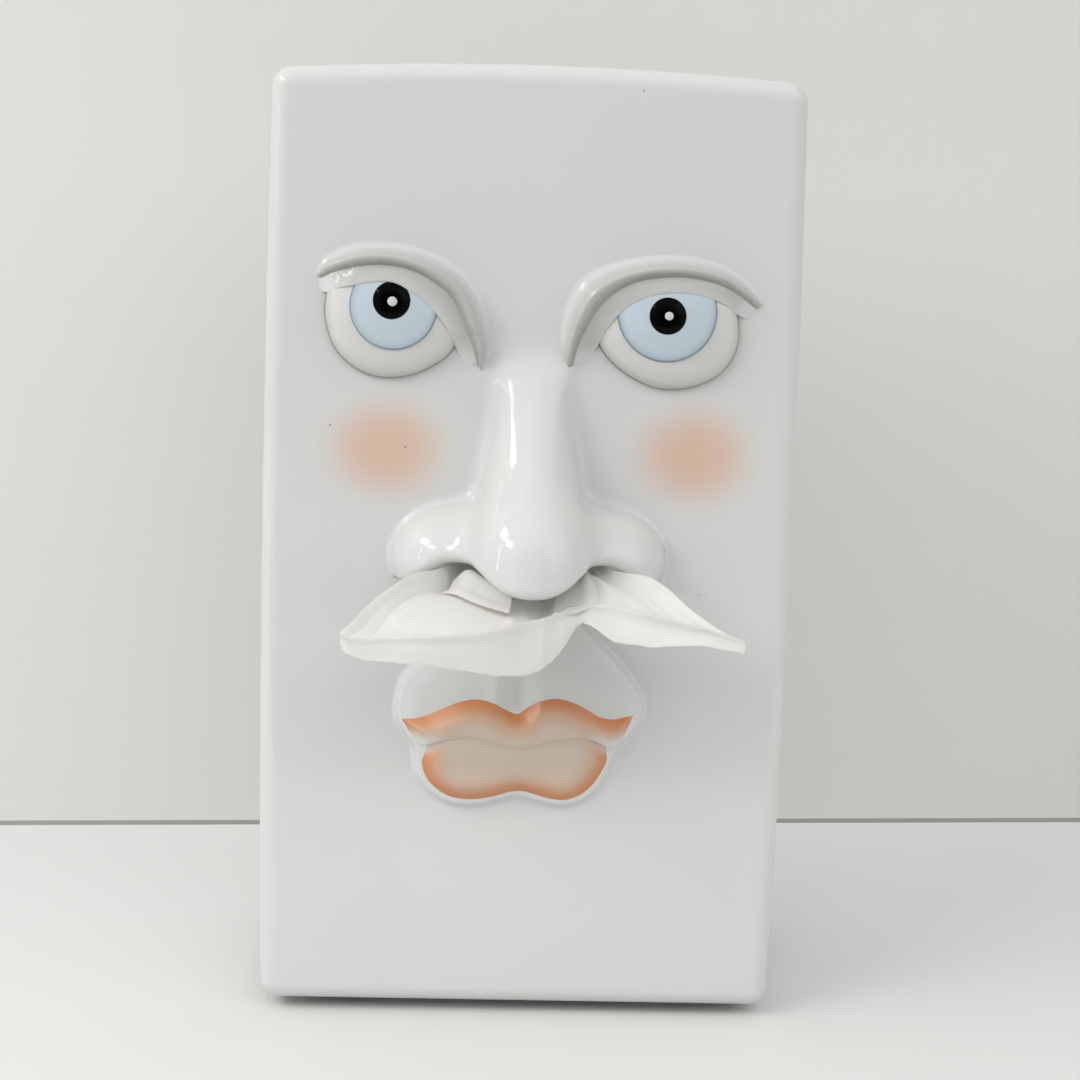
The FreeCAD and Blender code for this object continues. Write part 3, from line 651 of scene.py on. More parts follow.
# A touch of opaque white enamel, a little duller than the glaze round it.
dot_white = glazed("white_enamel_dot", "#cfcfce", "#c9c9c8", 0.2)
for hand, eye in EYES.items():
    ring = smooth_line(eye["ball"], np.linspace(0, 1, DISC_COLUMNS))
    side, rise, share = disc(eye["centre"], ring)
    ball_skin = on_face(side, ball_out(eye, side, rise) - BALL_SINK, rise)
    ball = cast(hand + "_eyeball_relief", set_in_wall(formed(ball_skin, share=share)), ball_white)
    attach(ball, "cover")
    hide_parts(hand + "_eyeball")
    side, rise, share = disc(eye["iris"][:2], circle(*eye["iris"]))
    away = eye["iris"][2] * (1 - share)
    lift = IRIS_LIFT - rounded_off(away, IRIS_EDGE_RADIUS, IRIS_EDGE_DROP)
    iris_skin = on_face(side, ball_out(eye, side, rise) + lift, rise)
    iris = cast(hand + "_iris_disc", set_in_wall(formed(iris_skin, share=share)), blue)
    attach(iris, "cover")
    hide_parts(hand + "_iris")
    side, rise, share = disc(eye["pupil"][:2], circle(*eye["pupil"]))
    pupil_top = ball_out(eye, *np.array(eye["pupil"][:2])) + IRIS_LIFT + PUPIL_CLEAR + PUPIL_LIFT
    pupil_skin = ball_out(eye, side, rise) + IRIS_LIFT + PUPIL_CLEAR + PUPIL_LIFT * (1 - share ** 2)
    pupil = cast(hand + "_pupil_drop", set_in_wall(formed(on_face(side, pupil_skin, rise))), black)
    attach(pupil, "cover")
    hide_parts(hand + "_pupil")
    side, rise, share = disc(eye["dot"][:2], circle(*eye["dot"]))
    dot_skin = pupil_top - DOT_SINK + DOT_LIFT * np.sqrt(1 - DOT_CROWN * share ** 2)
    dot = cast(hand + "_white_dot", set_in_wall(formed(on_face(side, dot_skin, rise))), dot_white)
    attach(dot, "cover")
    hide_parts(hand + "_catchlight")

# Eyelids and brows
# Rolls of clay on the cast: the lid is a band with a thick rolled edge over the eyeball, the brow a
# tapering roll that ends in a groove above the lid, where grey stain was brushed in before glazing.
STRIP_COLUMNS = 120
BROW_HEIGHT = [(0.0, 0.3), (0.05, 2.6), (0.14, 5.0), (0.3, 6.9), (0.5, 7.4), (0.7, 6.9), (0.86, 5.2),
               (0.96, 2.5), (1.0, 0.3)]
BROW_PROFILE = [(-0.34, -0.02), (-0.2, 0.005), (-0.05, 0.05), (0.08, 0.17), (0.2, 0.42), (0.31, 0.72),
                (0.41, 0.93), (0.5, 1.0), (0.6, 0.98), (0.72, 0.92), (0.84, 0.84), (0.95, 0.75),
                (1.02, 0.66), (1.06, 0.55)]
BROW_ROWS = 34
BROW_CLEAR = 0.012
VALLEY_SHARE = 0.74
VALLEY_SINK = 0.2
LID_EDGE_LIFT = 0.95
LID_LEAST_LIFT = 0.3
LID_COVER = 0.1
LID_SINK = 0.05
LID_CROWN = 0.55
LID_UNDER_BROW = 0.8
LID_OUTER_TAIL = (0.0, 0.12)
LID_INNER_TAIL = (1.0, 0.86)
LID_OUTER_END = (0.0, 0.06)
BALL_FOOT = (0.0, 1.6)
LID_DEEPEST = -0.6
TAIL_ROLL_SHARE = 0.3
TAIL_STAIN_AND_SHADE_FADE = 1.4
BRISTLE = 1.1
BRISTLE_SCATTER = 0.34
LID_ROLL = [(0.0, 0.0), (0.25, -0.12), (0.42, -0.4), (0.45, -0.75), (0.3, -1.1), (-0.1, -1.35),
            (-0.8, -1.45)]
LID_ROWS = 14
LID_ROLL_ROWS = 12
EASING_COLUMNS = 27
EASING = np.hanning(EASING_COLUMNS)[1:-1] / np.hanning(EASING_COLUMNS).sum()


def eased(heights):
    """The heights along a strip, each drawn towards its neighbours."""
    return np.convolve(np.pad(heights, len(EASING) // 2, "edge"), EASING, "valid")


# The cover's white glaze over grey stain: a thin grey wash over brow and lid, partly stain and partly painted
# shade and painted reflection of darker surroundings, and a bristly stroke of stain in the groove.
brow_glaze = painted_white()
brow_glaze.name = "white_glaze_with_grey_stain_and_painted_shade"
brow_across = add(brow_glaze, "Attribute", attribute_name="across").outputs["Fac"]
bristle = add(brow_glaze, "TexNoise", {"Vector": add(brow_glaze, "TexCoord").outputs["Object"],
                                       "Scale": 1 / (BRISTLE * MM), "Detail": 3.0})
brushed = add(brow_glaze, "Math", {0: bristle.outputs["Fac"], 1: BRISTLE_SCATTER, 2: brow_across},
              operation="MULTIPLY_ADD")
# Painted shade and painted reflection, partly stain: the grey wash over the brow's top and the lid.
wash_and_painted_shade = add(brow_glaze, "Math", {0: fade(brow_glaze, brow_across, 0.5, -0.2, 0.55),
                                1: fade(brow_glaze, brow_across, 1.25, 2.4)}, operation="MULTIPLY")
paint(brow_glaze, wash_and_painted_shade.outputs[0], "#9a9895")
stroke = add(brow_glaze, "Math", {0: fade(brow_glaze, brushed.outputs[0], 1.04, 0.72, 0.45),
                                  1: fade(brow_glaze, brushed.outputs[0], 1.16, 1.36)}, operation="MULTIPLY")
paint(brow_glaze, stroke.outputs[0], "#867d74")
shares = np.linspace(0, 1, STRIP_COLUMNS)
for hand, eye in EYES.items():
    roof = smooth_line(eye["brow"], shares)
    groove = smooth_line(eye["groove"], shares)
    lid_edge = smooth_line(eye["lid"], shares)
    stand = np.interp(shares, *np.array(smooth_line(BROW_HEIGHT, np.linspace(0, 1, 200))).T)
    profile = smooth_line(BROW_PROFILE, np.linspace(0, 1, BROW_ROWS))
    flat = roof[None] + (groove - roof)[None] * profile[:, 0][:, None, None]
    out = stand[None] * profile[:, 1][:, None] + BROW_CLEAR
    across = np.broadcast_to(profile[:, :1], out.shape)
    clay = formed(on_face(flat[..., 0], out, flat[..., 1]), across=across)
    brow = cast(hand + "_brow_roll", set_in_wall(clay), brow_glaze)
    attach(brow, "cover")
    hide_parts(hand + "_brow")
    tails = smooth_step(*LID_OUTER_TAIL, shares) * smooth_step(*LID_INNER_TAIL, shares)
    valley = stand * VALLEY_SHARE - VALLEY_SINK
    under = ball_out(eye, lid_edge[:, 0], lid_edge[:, 1])
    on_ball = smooth_step(*BALL_FOOT, under)
    lip_out = np.maximum(eased(under + LID_EDGE_LIFT * on_ball) * tails, under + LID_LEAST_LIFT * on_ball)
    lip_out = eased(lip_out) * smooth_step(*LID_OUTER_END, shares)
    lip_out = np.maximum(lip_out, under + LID_COVER * on_ball) - LID_SINK
    fall = lid_edge - groove
    fall /= np.linalg.norm(fall, axis=1, keepdims=True)
    start = groove - fall * LID_UNDER_BROW
    rows = []
    across = []
    for share in np.linspace(0, 1, LID_ROWS):
        flat = start + (lid_edge - start) * share
        out = valley + (lip_out - valley) * (0.5 * share + 0.5 * smooth_step(0, 1, share))
        out = out + LID_CROWN * math.sin(math.pi * share) * tails
        rows.append(on_face(flat[:, 0], out, flat[:, 1]))
        across.append(1 + share + TAIL_STAIN_AND_SHADE_FADE * (1 - tails))
    for on, drop in smooth_line(LID_ROLL, np.linspace(0, 1, LID_ROLL_ROWS))[1:]:
        flat = lid_edge + fall * on
        out = np.maximum(lip_out + drop * (TAIL_ROLL_SHARE + (1 - TAIL_ROLL_SHARE) * tails), LID_DEEPEST)
        rows.append(on_face(flat[:, 0], out, flat[:, 1]))
        across.append(2 + TAIL_STAIN_AND_SHADE_FADE * (1 - tails))
    clay = formed(np.array(rows), across=np.array(across))
    lid = cast(hand + "_eyelid_band", set_in_wall(clay), brow_glaze, 80.0)
    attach(lid, "cover")
    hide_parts(hand + "_eyelid")

# Felt foot
# A pad of grey needled wool felt, die cut with round corners and glued under the foot; its edge is
# a little soft and its face fuzzy, and it holds the cover clear of the table in a narrow dark gap.
PAD_HALF = (57.0, 35.5)
PAD_THICK = 3.0
PAD_CORNER = 5.0
PAD_SOFT_EDGE = 0.8
FELT_FIBRE = 0.7
FELT_NAP = 0.25

# Needled wool: matt and heathered, with a short nap that catches light along its edge.
felt = blank("grey_needled_wool_felt")
fuzz = add(felt, "TexNoise", {"Vector": add(felt, "TexCoord").outputs["Object"],
                              "Scale": 1 / (FELT_FIBRE * MM), "Detail": 6.0, "Distortion": 1.2})
heather = add(felt, "Mix", {0: fuzz.outputs["Fac"], 6: colour("#6f726e"), 7: colour("#969994")},
              data_type="RGBA")
felt_bump = add(felt, "Bump", {"Strength": 0.8, "Distance": FELT_NAP * MM, "Height": fuzz.outputs["Fac"]})
felt_shader = add(felt, "BsdfPrincipled", {"Base Color": heather.outputs[2], "Roughness": 0.95,
                                           "Sheen Weight": 0.4, "Normal": felt_bump.outputs["Normal"]})
add(felt, "OutputMaterial", {"Surface": felt_shader.outputs[0]})
clay = bmesh.new()
bmesh.ops.create_grid(clay, x_segments=1, y_segments=1, size=1.0)
bmesh.ops.scale(clay, vec=(PAD_HALF[0] * MM, PAD_HALF[1] * MM, 1.0), verts=clay.verts)
bmesh.ops.bevel(clay, geom=clay.verts[:], offset=PAD_CORNER * MM, affect="VERTICES", segments=8, profile=0.5,
                material=-1)
raised = bmesh.ops.extrude_face_region(clay, geom=clay.faces[:])["geom"]
upper = [part for part in raised if isinstance(part, bmesh.types.BMVert)]
bmesh.ops.translate(clay, vec=(0, 0, PAD_THICK * MM), verts=upper)
rims = [edge for edge in clay.edges if abs(edge.verts[0].co.z - edge.verts[1].co.z) < 1e-6]
bmesh.ops.bevel(clay, geom=rims, offset=PAD_SOFT_EDGE * MM, affect="EDGES", segments=4, profile=0.5,
                material=-1)
pad = cast("felt_foot", clay, felt)
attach(pad, "cover")
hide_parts("base_pad")

# Tissue carton
# Folding box of white-lined grey board, its blank side out and unprinted; glued down one long edge
# and closed at the top by two flaps that meet in the middle, with the long hole stamped in its front.
CARTON_HALF = 59.0
CARTON_FRONT = -38.5
CARTON_BACK = 37.5
CARTON_FOOT = 8.0
CARTON_HEAD = 240.0
CARTON_MIDDLE = (CARTON_FRONT + CARTON_BACK) / 2
BOARD = 0.8
FOLD_RADIUS = 0.6
FOLD_BEND = 0.5
FOLD_MIDDLE = 0.15
HOLE_HALF = (26.0, 70.0)
HOLE_END_FLAT = 0.05
FLAP_GAP = 1.2
FLAP_INSET = 0.6
FLAP_TOP = 0.75
SEAM_WIDTH = 14.0
SEAM_INSET = (0.4, 2.0)
SEAM_TOP = 0.7
GLUED = 0.05
CUT_EDGE = 0.25
BOARD_FIBRE = 1.1
BOARD_MOTTLE = 28.0
BOARD_ROUGH = 0.08

# Pulp board with a thin white lining: dull, faintly mottled, grey fibres showing through as flecks.
board = blank("white_lined_carton_board")
board_place = add(board, "TexCoord").outputs["Object"]
pulp = add(board, "TexNoise", {"Vector": board_place, "Scale": 1 / (BOARD_FIBRE * MM), "Detail": 5.0})
mottle = add(board, "TexNoise", {"Vector": board_place, "Scale": 1 / (BOARD_MOTTLE * MM), "Detail": 2.0})
lining_tone = add(board, "Mix", {0: mottle.outputs["Fac"], 6: colour("#e9e7e1"), 7: colour("#dfdcd4")},
                  data_type="RGBA")
fleck = fade(board, pulp.outputs["Fac"], 0.30, 0.42, 0.5)
board_tone = add(board, "Mix", {0: fleck, 6: lining_tone.outputs[2], 7: colour("#c9c4b8")}, data_type="RGBA")
board_bump = add(board, "Bump", {"Strength": 0.35, "Distance": BOARD_ROUGH * MM,
                                 "Height": pulp.outputs["Fac"]})
board_shader = add(board, "BsdfPrincipled", {"Base Color": board_tone.outputs[2], "Roughness": 0.62,
                                             "IOR": 1.5, "Normal": board_bump.outputs["Normal"]})
add(board, "OutputMaterial", {"Surface": board_shader.outputs[0]})


def plate(clay, low, high):
    """Adds one flat piece of board with slightly rounded edges, between two corners."""
    made = bmesh.ops.create_cube(clay, size=1.0)["verts"]
    size = [b - a for a, b in zip(low, high)]
    centre = [(a + b) / 2 for a, b in zip(low, high)]
    bmesh.ops.scale(clay, vec=[one * MM for one in size], verts=made)
    bmesh.ops.translate(clay, vec=[one * MM for one in centre], verts=made)
    edges = {edge for corner in made for edge in corner.link_edges}
    bmesh.ops.bevel(clay, geom=list(edges), offset=CUT_EDGE * MM, affect="EDGES", segments=2, profile=0.5,
                    material=-1)


def hole_ring(y):
    """The outline of the long hole, round at both ends, at one depth."""
    half, high = HOLE_HALF
    return at_depth(rounded_loop(half, HAND_OUT - high, HAND_OUT + high, half - HOLE_END_FLAT), y)


def carton_ring(inset, y):
    """The carton's outline, drawn in by an inset, at one depth."""
    low, high = CARTON_FOOT + inset, CARTON_HEAD - inset
    return at_depth(rounded_loop(CARTON_HALF - inset, low, high, FOLD_RADIUS), y)


hole_front = hole_ring(CARTON_FRONT)
wrap = [hole_ring(CARTON_FRONT + BOARD), hole_front]
face_ring = carton_ring(FOLD_BEND, CARTON_FRONT)
wrap += [hole_front + (face_ring - hole_front) * share for share in (0.1, 0.5, 0.9, 1.0)]
wrap += [carton_ring(FOLD_MIDDLE, CARTON_FRONT + FOLD_MIDDLE), carton_ring(0.0, CARTON_FRONT + FOLD_BEND)]
wrap += [carton_ring(0.0, CARTON_BACK - FOLD_BEND), carton_ring(FOLD_MIDDLE, CARTON_BACK - FOLD_MIDDLE)]
back_ring = carton_ring(FOLD_BEND, CARTON_BACK)
back_middle = np.broadcast_to([[0.0, CARTON_BACK, HAND_OUT]], back_ring.shape)
wrap += [back_ring + (back_middle - back_ring) * share for share in (0.0, 0.5, 1.0)]
sleeve = formed(np.array(wrap))
bmesh.ops.recalc_face_normals(sleeve, faces=sleeve.faces)
bmesh.ops.solidify(sleeve, geom=sleeve.faces[:], thickness=BOARD * MM)
flap_half = CARTON_HALF - FLAP_INSET
for front, back in ((CARTON_FRONT + FLAP_INSET, CARTON_MIDDLE - FLAP_GAP / 2),
                    (CARTON_MIDDLE + FLAP_GAP / 2, CARTON_BACK - FLAP_INSET)):
    plate(sleeve, (-flap_half, front, CARTON_HEAD - GLUED), (flap_half, back, CARTON_HEAD + FLAP_TOP))
plate(sleeve, (CARTON_HALF - SEAM_WIDTH, CARTON_BACK - GLUED, CARTON_FOOT + SEAM_INSET[1]),
      (CARTON_HALF - SEAM_INSET[0], CARTON_BACK + SEAM_TOP, CARTON_HEAD - SEAM_INSET[1]))
carton = cast("board_carton", sleeve, board, 40.0)
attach(carton, "carton")
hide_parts("carton")

# Slit film
# A thin clear polyethylene window glued behind the long hole; its slit gapes where the tissue leaves,
# and the film shows only by its wrinkled shine.
FILM_WRINKLE = 9.0
FILM_RIPPLE = 0.5

# Blown film: all but clear, seen as broken streaks of shine where it wrinkles.
clear_film = blank("clear_polyethylene_film")
wrinkle = add(clear_film, "TexNoise", {"Vector": add(clear_film, "TexCoord").outputs["Object"],
                                       "Scale": 1 / (FILM_WRINKLE * MM), "Detail": 2.0, "Distortion": 0.6})
film_bump = add(clear_film, "Bump", {"Strength": 0.6, "Distance": FILM_RIPPLE * MM,
                                     "Height": wrinkle.outputs["Fac"]})
film_shader = add(clear_film, "BsdfPrincipled", {
    "Base Color": colour("#f3f5f4"), "Roughness": 0.12, "IOR": 1.51, "Transmission Weight": 0.9,
    "Normal": film_bump.outputs["Normal"]})
add(clear_film, "OutputMaterial", {"Surface": film_shader.outputs[0]})
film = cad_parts["slit_film"]
film.data.materials.clear()
film.data.materials.append(clear_film)

# Tissue stack
# Interfolded facial tissues: soft two-ply paper folded back and forth in one pile that stands on
# the carton's lower end, the folds rounded and a little uneven.
STACK_HALF = 55.0
STACK_FRONT = -34.6
STACK_BACK = 34.0
STACK_FOOT = 8.9
STACK_HEAD = 234.0
STACK_LAYERS = 28
STACK_TURN = 1.6
STACK_SAG = 0.15
SAG_BEAT = 2.3
STACK_RIPPLE = 0.25
RIPPLE_GRID = (0.05, 0.02)
POINTS_PER_LAYER = 12
STACK_ROWS = 12
PLY = 0.3
CREPE = 0.9
CREPE_STRETCH = 2.6
CREPE_DEPTH = 0.12
PAPER_CLOUD = 14.0
LIGHT_THROUGH = 0.35


def tissue_paper(name):
    """Creped two-ply tissue: matt, warm white, crossed by fine crepe lines, letting some light through."""
    paper = blank(name)
    place = add(paper, "TexCoord").outputs["Object"]
    stretch = add(paper, "Mapping", {"Vector": place, "Scale": (1.0, 1.0, CREPE_STRETCH)})
    crepe = add(paper, "TexNoise", {"Vector": stretch.outputs[0], "Scale": 1 / (CREPE * MM), "Detail": 4.0})
    soft = add(paper, "TexNoise", {"Vector": place, "Scale": 1 / (PAPER_CLOUD * MM), "Detail": 2.0})
    tone = add(paper, "Mix", {0: soft.outputs["Fac"], 6: colour("#f6f5f3"), 7: colour("#eeedea")},
               data_type="RGBA")
    bump = add(paper, "Bump", {"Strength": 0.5, "Distance": CREPE_DEPTH * MM, "Height": crepe.outputs["Fac"]})
    sheet = add(paper, "BsdfPrincipled", {"Base Color": tone.outputs[2], "Roughness": 0.9, "IOR": 1.4,
                                          "Sheen Weight": 0.15, "Normal": bump.outputs["Normal"]})
    through = add(paper, "BsdfTranslucent", {"Color": tone.outputs[2], "Normal": bump.outputs["Normal"]})
    both = add(paper, "MixShader", {0: LIGHT_THROUGH, 1: sheet.outputs[0], 2: through.outputs[0]})
    add(paper, "OutputMaterial", {"Surface": both.outputs[0]})
    return paper


def two_ply(piece):
    """Gives a sheet of tissue the thickness of its two plies."""
    ply = piece.modifiers.new("ply", "SOLIDIFY")
    ply.thickness = PLY * MM
    ply.offset = 0.0


tissue_finish = tissue_paper("creped_tissue_paper")
pitch = (STACK_BACK - STACK_FRONT) / STACK_LAYERS
folds = []
for layer in range(STACK_LAYERS):
    y = STACK_FRONT + (layer + 0.5) * pitch
    far = 1 if layer % 2 == 0 else -1
    turn = far * (STACK_HALF - STACK_TURN)
    folds += [(-turn, y), (0.0, y + STACK_SAG * math.sin(layer * SAG_BEAT)), (turn, y)]
    folds.append((far * STACK_HALF, y + pitch / 2))
path = smooth_line(folds[:-1], np.linspace(0, 1, STACK_LAYERS * POINTS_PER_LAYER))
heights = np.linspace(STACK_FOOT, STACK_HEAD, STACK_ROWS)
ripple = np.array([[noise.noise(Vector((place * RIPPLE_GRID[0], z * RIPPLE_GRID[1], 3.0)))
                    for place in range(len(path))] for z in heights])
stack_points = np.stack([np.broadcast_to(path[:, 0], ripple.shape), path[:, 1] + STACK_RIPPLE * ripple,
                         np.broadcast_to(heights[:, None], ripple.shape)], axis=-1)
stack = cast("tissue_pile", formed(stack_points), tissue_finish, 180.0)
two_ply(stack)
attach(stack, "carton")
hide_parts("tissue_stack")

# Drawn tissue
# The next tissue, pulled half out through the nose: gathered where it passes the window, spread to
# both sides below the rim, its back edges standing up, its front folded over a crest and hanging.
# Each rib is one fold line from the film to the hanging edge, as side, way out and rise.
RIBS = [
    [(-7.0, -11.0, 10.4), (-11.0, 0.0, 6.4), (-18.5, 10.0, 3.0), (-24.0, 17.0, 1.7), (-30.0, 23.0, 1.3),
     (-34.0, 29.0, -0.2), (-40.4, 37.0, -3.8), (-44.2, 43.0, -7.3), (-47.2, 46.8, -10.1),
     (-47.2, 47.6, -12.4)],
    [(-6.2, -11.0, 9.8), (-10.2, 0.0, 5.8), (-17.9, 10.0, 2.0), (-23.6, 17.5, 0.0), (-29.8, 24.0, -0.9),
     (-34.4, 30.5, -2.6), (-39.8, 38.0, -6.2), (-43.4, 44.0, -9.7), (-45.6, 47.0, -11.3),
     (-45.4, 48.0, -15.2)],
    [(-5.4, -11.0, 10.2), (-9.4, 0.0, 6.0), (-16.4, 10.0, -4.2), (-21.4, 17.0, -5.0), (-25.8, 22.0, -3.9),
     (-31.8, 29.5, -4.8), (-35.8, 36.0, -7.4), (-38.6, 42.0, -10.2), (-40.6, 46.2, -11.7),
     (-38.8, 47.4, -16.4)],
    [(-4.6, -11.0, 9.9), (-8.4, 0.0, 6.0), (-13.8, 10.0, -4.4), (-18.4, 17.0, -5.4), (-22.6, 22.0, -4.3),
     (-28.6, 29.5, -4.9), (-32.6, 36.0, -7.2), (-35.2, 41.6, -9.8), (-36.8, 45.6, -11.4),
     (-34.6, 46.6, -16.8)],
    [(-3.6, -11.0, 9.9), (-6.6, 0.0, 6.2), (-9.8, 10.0, 1.4), (-12.4, 17.0, -1.8), (-15.6, 22.0, -3.9),
     (-19.8, 29.0, -6.4), (-23.0, 35.0, -8.8), (-25.2, 40.5, -10.7), (-26.0, 43.8, -11.2),
     (-23.2, 44.6, -18.0)],
    [(-2.4, -11.0, 10.3), (-4.4, 0.0, 6.5), (-6.2, 10.0, 1.8), (-7.4, 17.0, -1.4), (-8.4, 22.0, -3.9),
     (-9.4, 28.0, -6.8), (-10.0, 33.0, -8.9), (-10.4, 37.2, -10.2), (-10.6, 39.5, -10.2),
     (-10.2, 40.3, -20.8)],
    [(-1.2, -11.0, 9.9), (-2.2, 0.0, 6.3), (-3.0, 10.0, 2.4), (-3.6, 17.0, -0.1), (-4.0, 22.0, -2.0),
     (-4.4, 27.0, -4.4), (-4.6, 31.0, -6.8), (-4.8, 35.2, -8.8), (-4.9, 37.8, -9.2), (-4.9, 38.6, -21.6)],
    [(0.2, -11.0, 10.3), (0.2, 0.0, 6.5), (0.4, 10.0, 1.6), (0.8, 17.0, -1.6), (1.0, 22.0, -4.3),
     (1.2, 26.4, -6.7), (1.4, 30.0, -8.1), (1.4, 33.4, -8.3), (1.4, 35.4, -7.8), (1.4, 36.2, -20.9)],
    [(1.4, -11.0, 9.9), (2.4, 0.0, 6.1), (4.6, 10.0, 1.4), (6.0, 17.0, -1.8), (5.6, 22.0, -4.4),
     (4.8, 26.0, -6.4), (4.0, 29.5, -7.6), (3.8, 32.4, -7.7), (4.2, 34.3, -7.2), (4.4, 35.1, -19.2)],
    [(2.4, -11.0, 10.3), (4.6, 0.0, 6.6), (7.4, 10.0, 3.0), (9.0, 17.0, 0.9), (8.6, 21.5, -0.9),
     (7.4, 25.5, -3.4), (6.2, 29.0, -5.5), (6.2, 31.4, -6.3), (7.0, 33.0, -6.4), (7.4, 33.7, -16.2)],
    [(3.2, -11.0, 9.9), (6.0, 0.0, 6.2), (9.4, 10.0, 3.2), (11.4, 17.0, 1.2), (11.6, 21.5, -0.5),
     (11.4, 25.0, -2.5), (11.1, 28.0, -4.2), (11.0, 30.5, -5.1), (11.2, 32.0, -5.3), (11.9, 32.6, -9.4)],
    [(4.2, -11.0, 10.3), (7.6, 0.0, 6.5), (11.0, 10.0, 3.4), (13.4, 17.0, 1.6), (14.4, 21.5, 0.0),
     (15.0, 25.5, -1.8), (15.2, 29.0, -3.4), (15.0, 31.8, -4.3), (15.0, 33.4, -4.5), (14.8, 34.4, -9.2)],
    [(4.8, -11.0, 9.9), (8.6, 0.0, 6.2), (12.6, 10.0, 2.6), (15.4, 17.0, 1.6), (17.0, 21.5, 1.0),
     (18.4, 25.5, -0.5), (19.4, 29.5, -2.1), (19.8, 33.4, -3.4), (20.0, 35.6, -3.9), (20.6, 37.4, -12.2)],
    [(5.6, -11.0, 10.3), (9.8, 0.0, 6.4), (14.6, 10.0, 1.8), (17.8, 17.0, -0.6), (21.0, 21.5, -0.8),
     (24.4, 27.0, -2.0), (27.0, 33.0, -3.4), (28.8, 38.0, -4.4), (29.6, 41.4, -4.7), (29.6, 42.4, -11.8)],
    [(6.2, -11.0, 9.9), (10.6, 0.0, 6.0), (16.4, 10.0, 1.8), (20.0, 17.0, 0.3), (25.2, 22.0, 0.0),
     (30.6, 28.0, -1.5), (35.4, 35.0, -4.4), (39.2, 41.0, -6.4), (41.6, 44.8, -7.0), (41.0, 46.0, -11.2)],
    [(6.8, -11.0, 10.4), (11.4, 0.0, 6.4), (17.6, 10.0, 3.4), (21.2, 17.0, 2.7), (30.3, 24.4, 2.0),
     (34.8, 30.0, -0.2), (40.0, 36.0, -4.0), (45.8, 41.6, -7.2), (53.2, 46.2, -10.3), (52.8, 47.0, -12.8)]]
INNER_FOLDS = (
    ([(-18.2, 13.5, -2.6), (-15.2, 17.0, 1.3), (-11.0, 21.5, -0.2), (-7.4, 25.5, -1.8), (-4.4, 28.5, -2.9)],
     [(-22.6, 20.0, -4.2), (-19.2, 24.5, -3.6), (-14.4, 28.3, -4.9), (-9.6, 31.2, -5.8), (-5.4, 33.2, -6.5)],
     1.5, 0.25),
    ([(14.4, 14.0, 2.6), (15.2, 20.0, 1.2), (16.2, 24.5, -0.3), (17.2, 28.5, -2.4), (18.0, 34.0, -4.8)],
     [(12.0, 14.0, 2.8), (10.2, 20.0, 1.4), (8.2, 24.2, -0.9), (6.2, 27.6, -3.3), (5.0, 32.6, -7.0)],
     0.8, 0.1))
FOLD_COLUMNS = 40
FOLD_ROWS = 18
BULGE_PLACE = (0.25, 0.18)
VALLEY_PLACE = (0.6, 0.12)
CREST_BEAD = 0.55
CREST_BEAD_ROWS = 2.6
CREST_GUIDE = 8
CREASES = (0, 2, 6, 9, 12, 15)
UPPER_ROWS = 64
FLAP_ROWS = 22
COLUMNS_PER_RIB = 13
RIB_PITCH = 30.0
CRUMPLE = 0.8
CRUMPLE_HELD = 0.35
CRUMPLE_SINK = 0.3
LOOSE_ROWS = (20, 44)
STREAKS = (26.0, 2.2, 0.7)
LUMPS = (9.0, 5.0, 4.1)
WANDERING = (5.0, 2.0, 12.0)
SWAYING = (12.0, 6.0, 8.6)
CREASED_SHARE = 0.9
SWAY_SHARE = 0.8
FREE_SIDES = ((0.02, 0.14), (0.98, 0.9))
PLEATS = 11
PLEAT_WANDER = 0.35
PLEAT_ROWS = (32, 20)
DEEPEST_PLEAT = 2.6
SHEET_WIDTH = 105.0
SHEET_CREASE = 42.0


def cloud(grid, over, down):
    """Smooth unevenness at one place of the sheet, on a grid of its own."""
    return noise.noise(Vector((over * grid[0], down * grid[1], grid[2])))


rows_at = []
for rib in RIBS:
    rib = np.array(rib)
    upper = smooth_line(rib[:CREST_GUIDE + 1], np.linspace(0, 1, UPPER_ROWS))
    flap = np.linspace(rib[CREST_GUIDE], rib[CREST_GUIDE + 1], FLAP_ROWS + 1)[1:]
    rows_at.append(np.vstack([upper, flap]))
rows_at = np.array(rows_at)
fan = []
for first, last in zip(CREASES[:-1], CREASES[1:]):
    columns = COLUMNS_PER_RIB * (last - first) + 1
    part = np.zeros((UPPER_ROWS + FLAP_ROWS, columns, 3))
    for row in range(UPPER_ROWS + FLAP_ROWS):
        knots = np.column_stack([np.arange(first, last + 1) * RIB_PITCH, rows_at[first:last + 1, row]])
        part[row] = smooth_line(knots, np.linspace(0, 1, columns))[:, 1:]
    fan.append(part if last == CREASES[-1] else part[:, :-1])
fan = np.concatenate(fan, axis=1)
widths = np.linalg.norm(np.diff(fan, axis=1), axis=2).sum(axis=1)
steep = math.pi / 2 * np.sqrt(np.maximum((SHEET_WIDTH / widths) ** 2 - 1, 0))
pleat_depth = np.minimum(steep * widths / (2 * math.pi * PLEATS), DEEPEST_PLEAT)
pleat_depth *= smooth_step(*PLEAT_ROWS, np.arange(len(widths)))
fan_rows, fan_columns = fan.shape[:2]
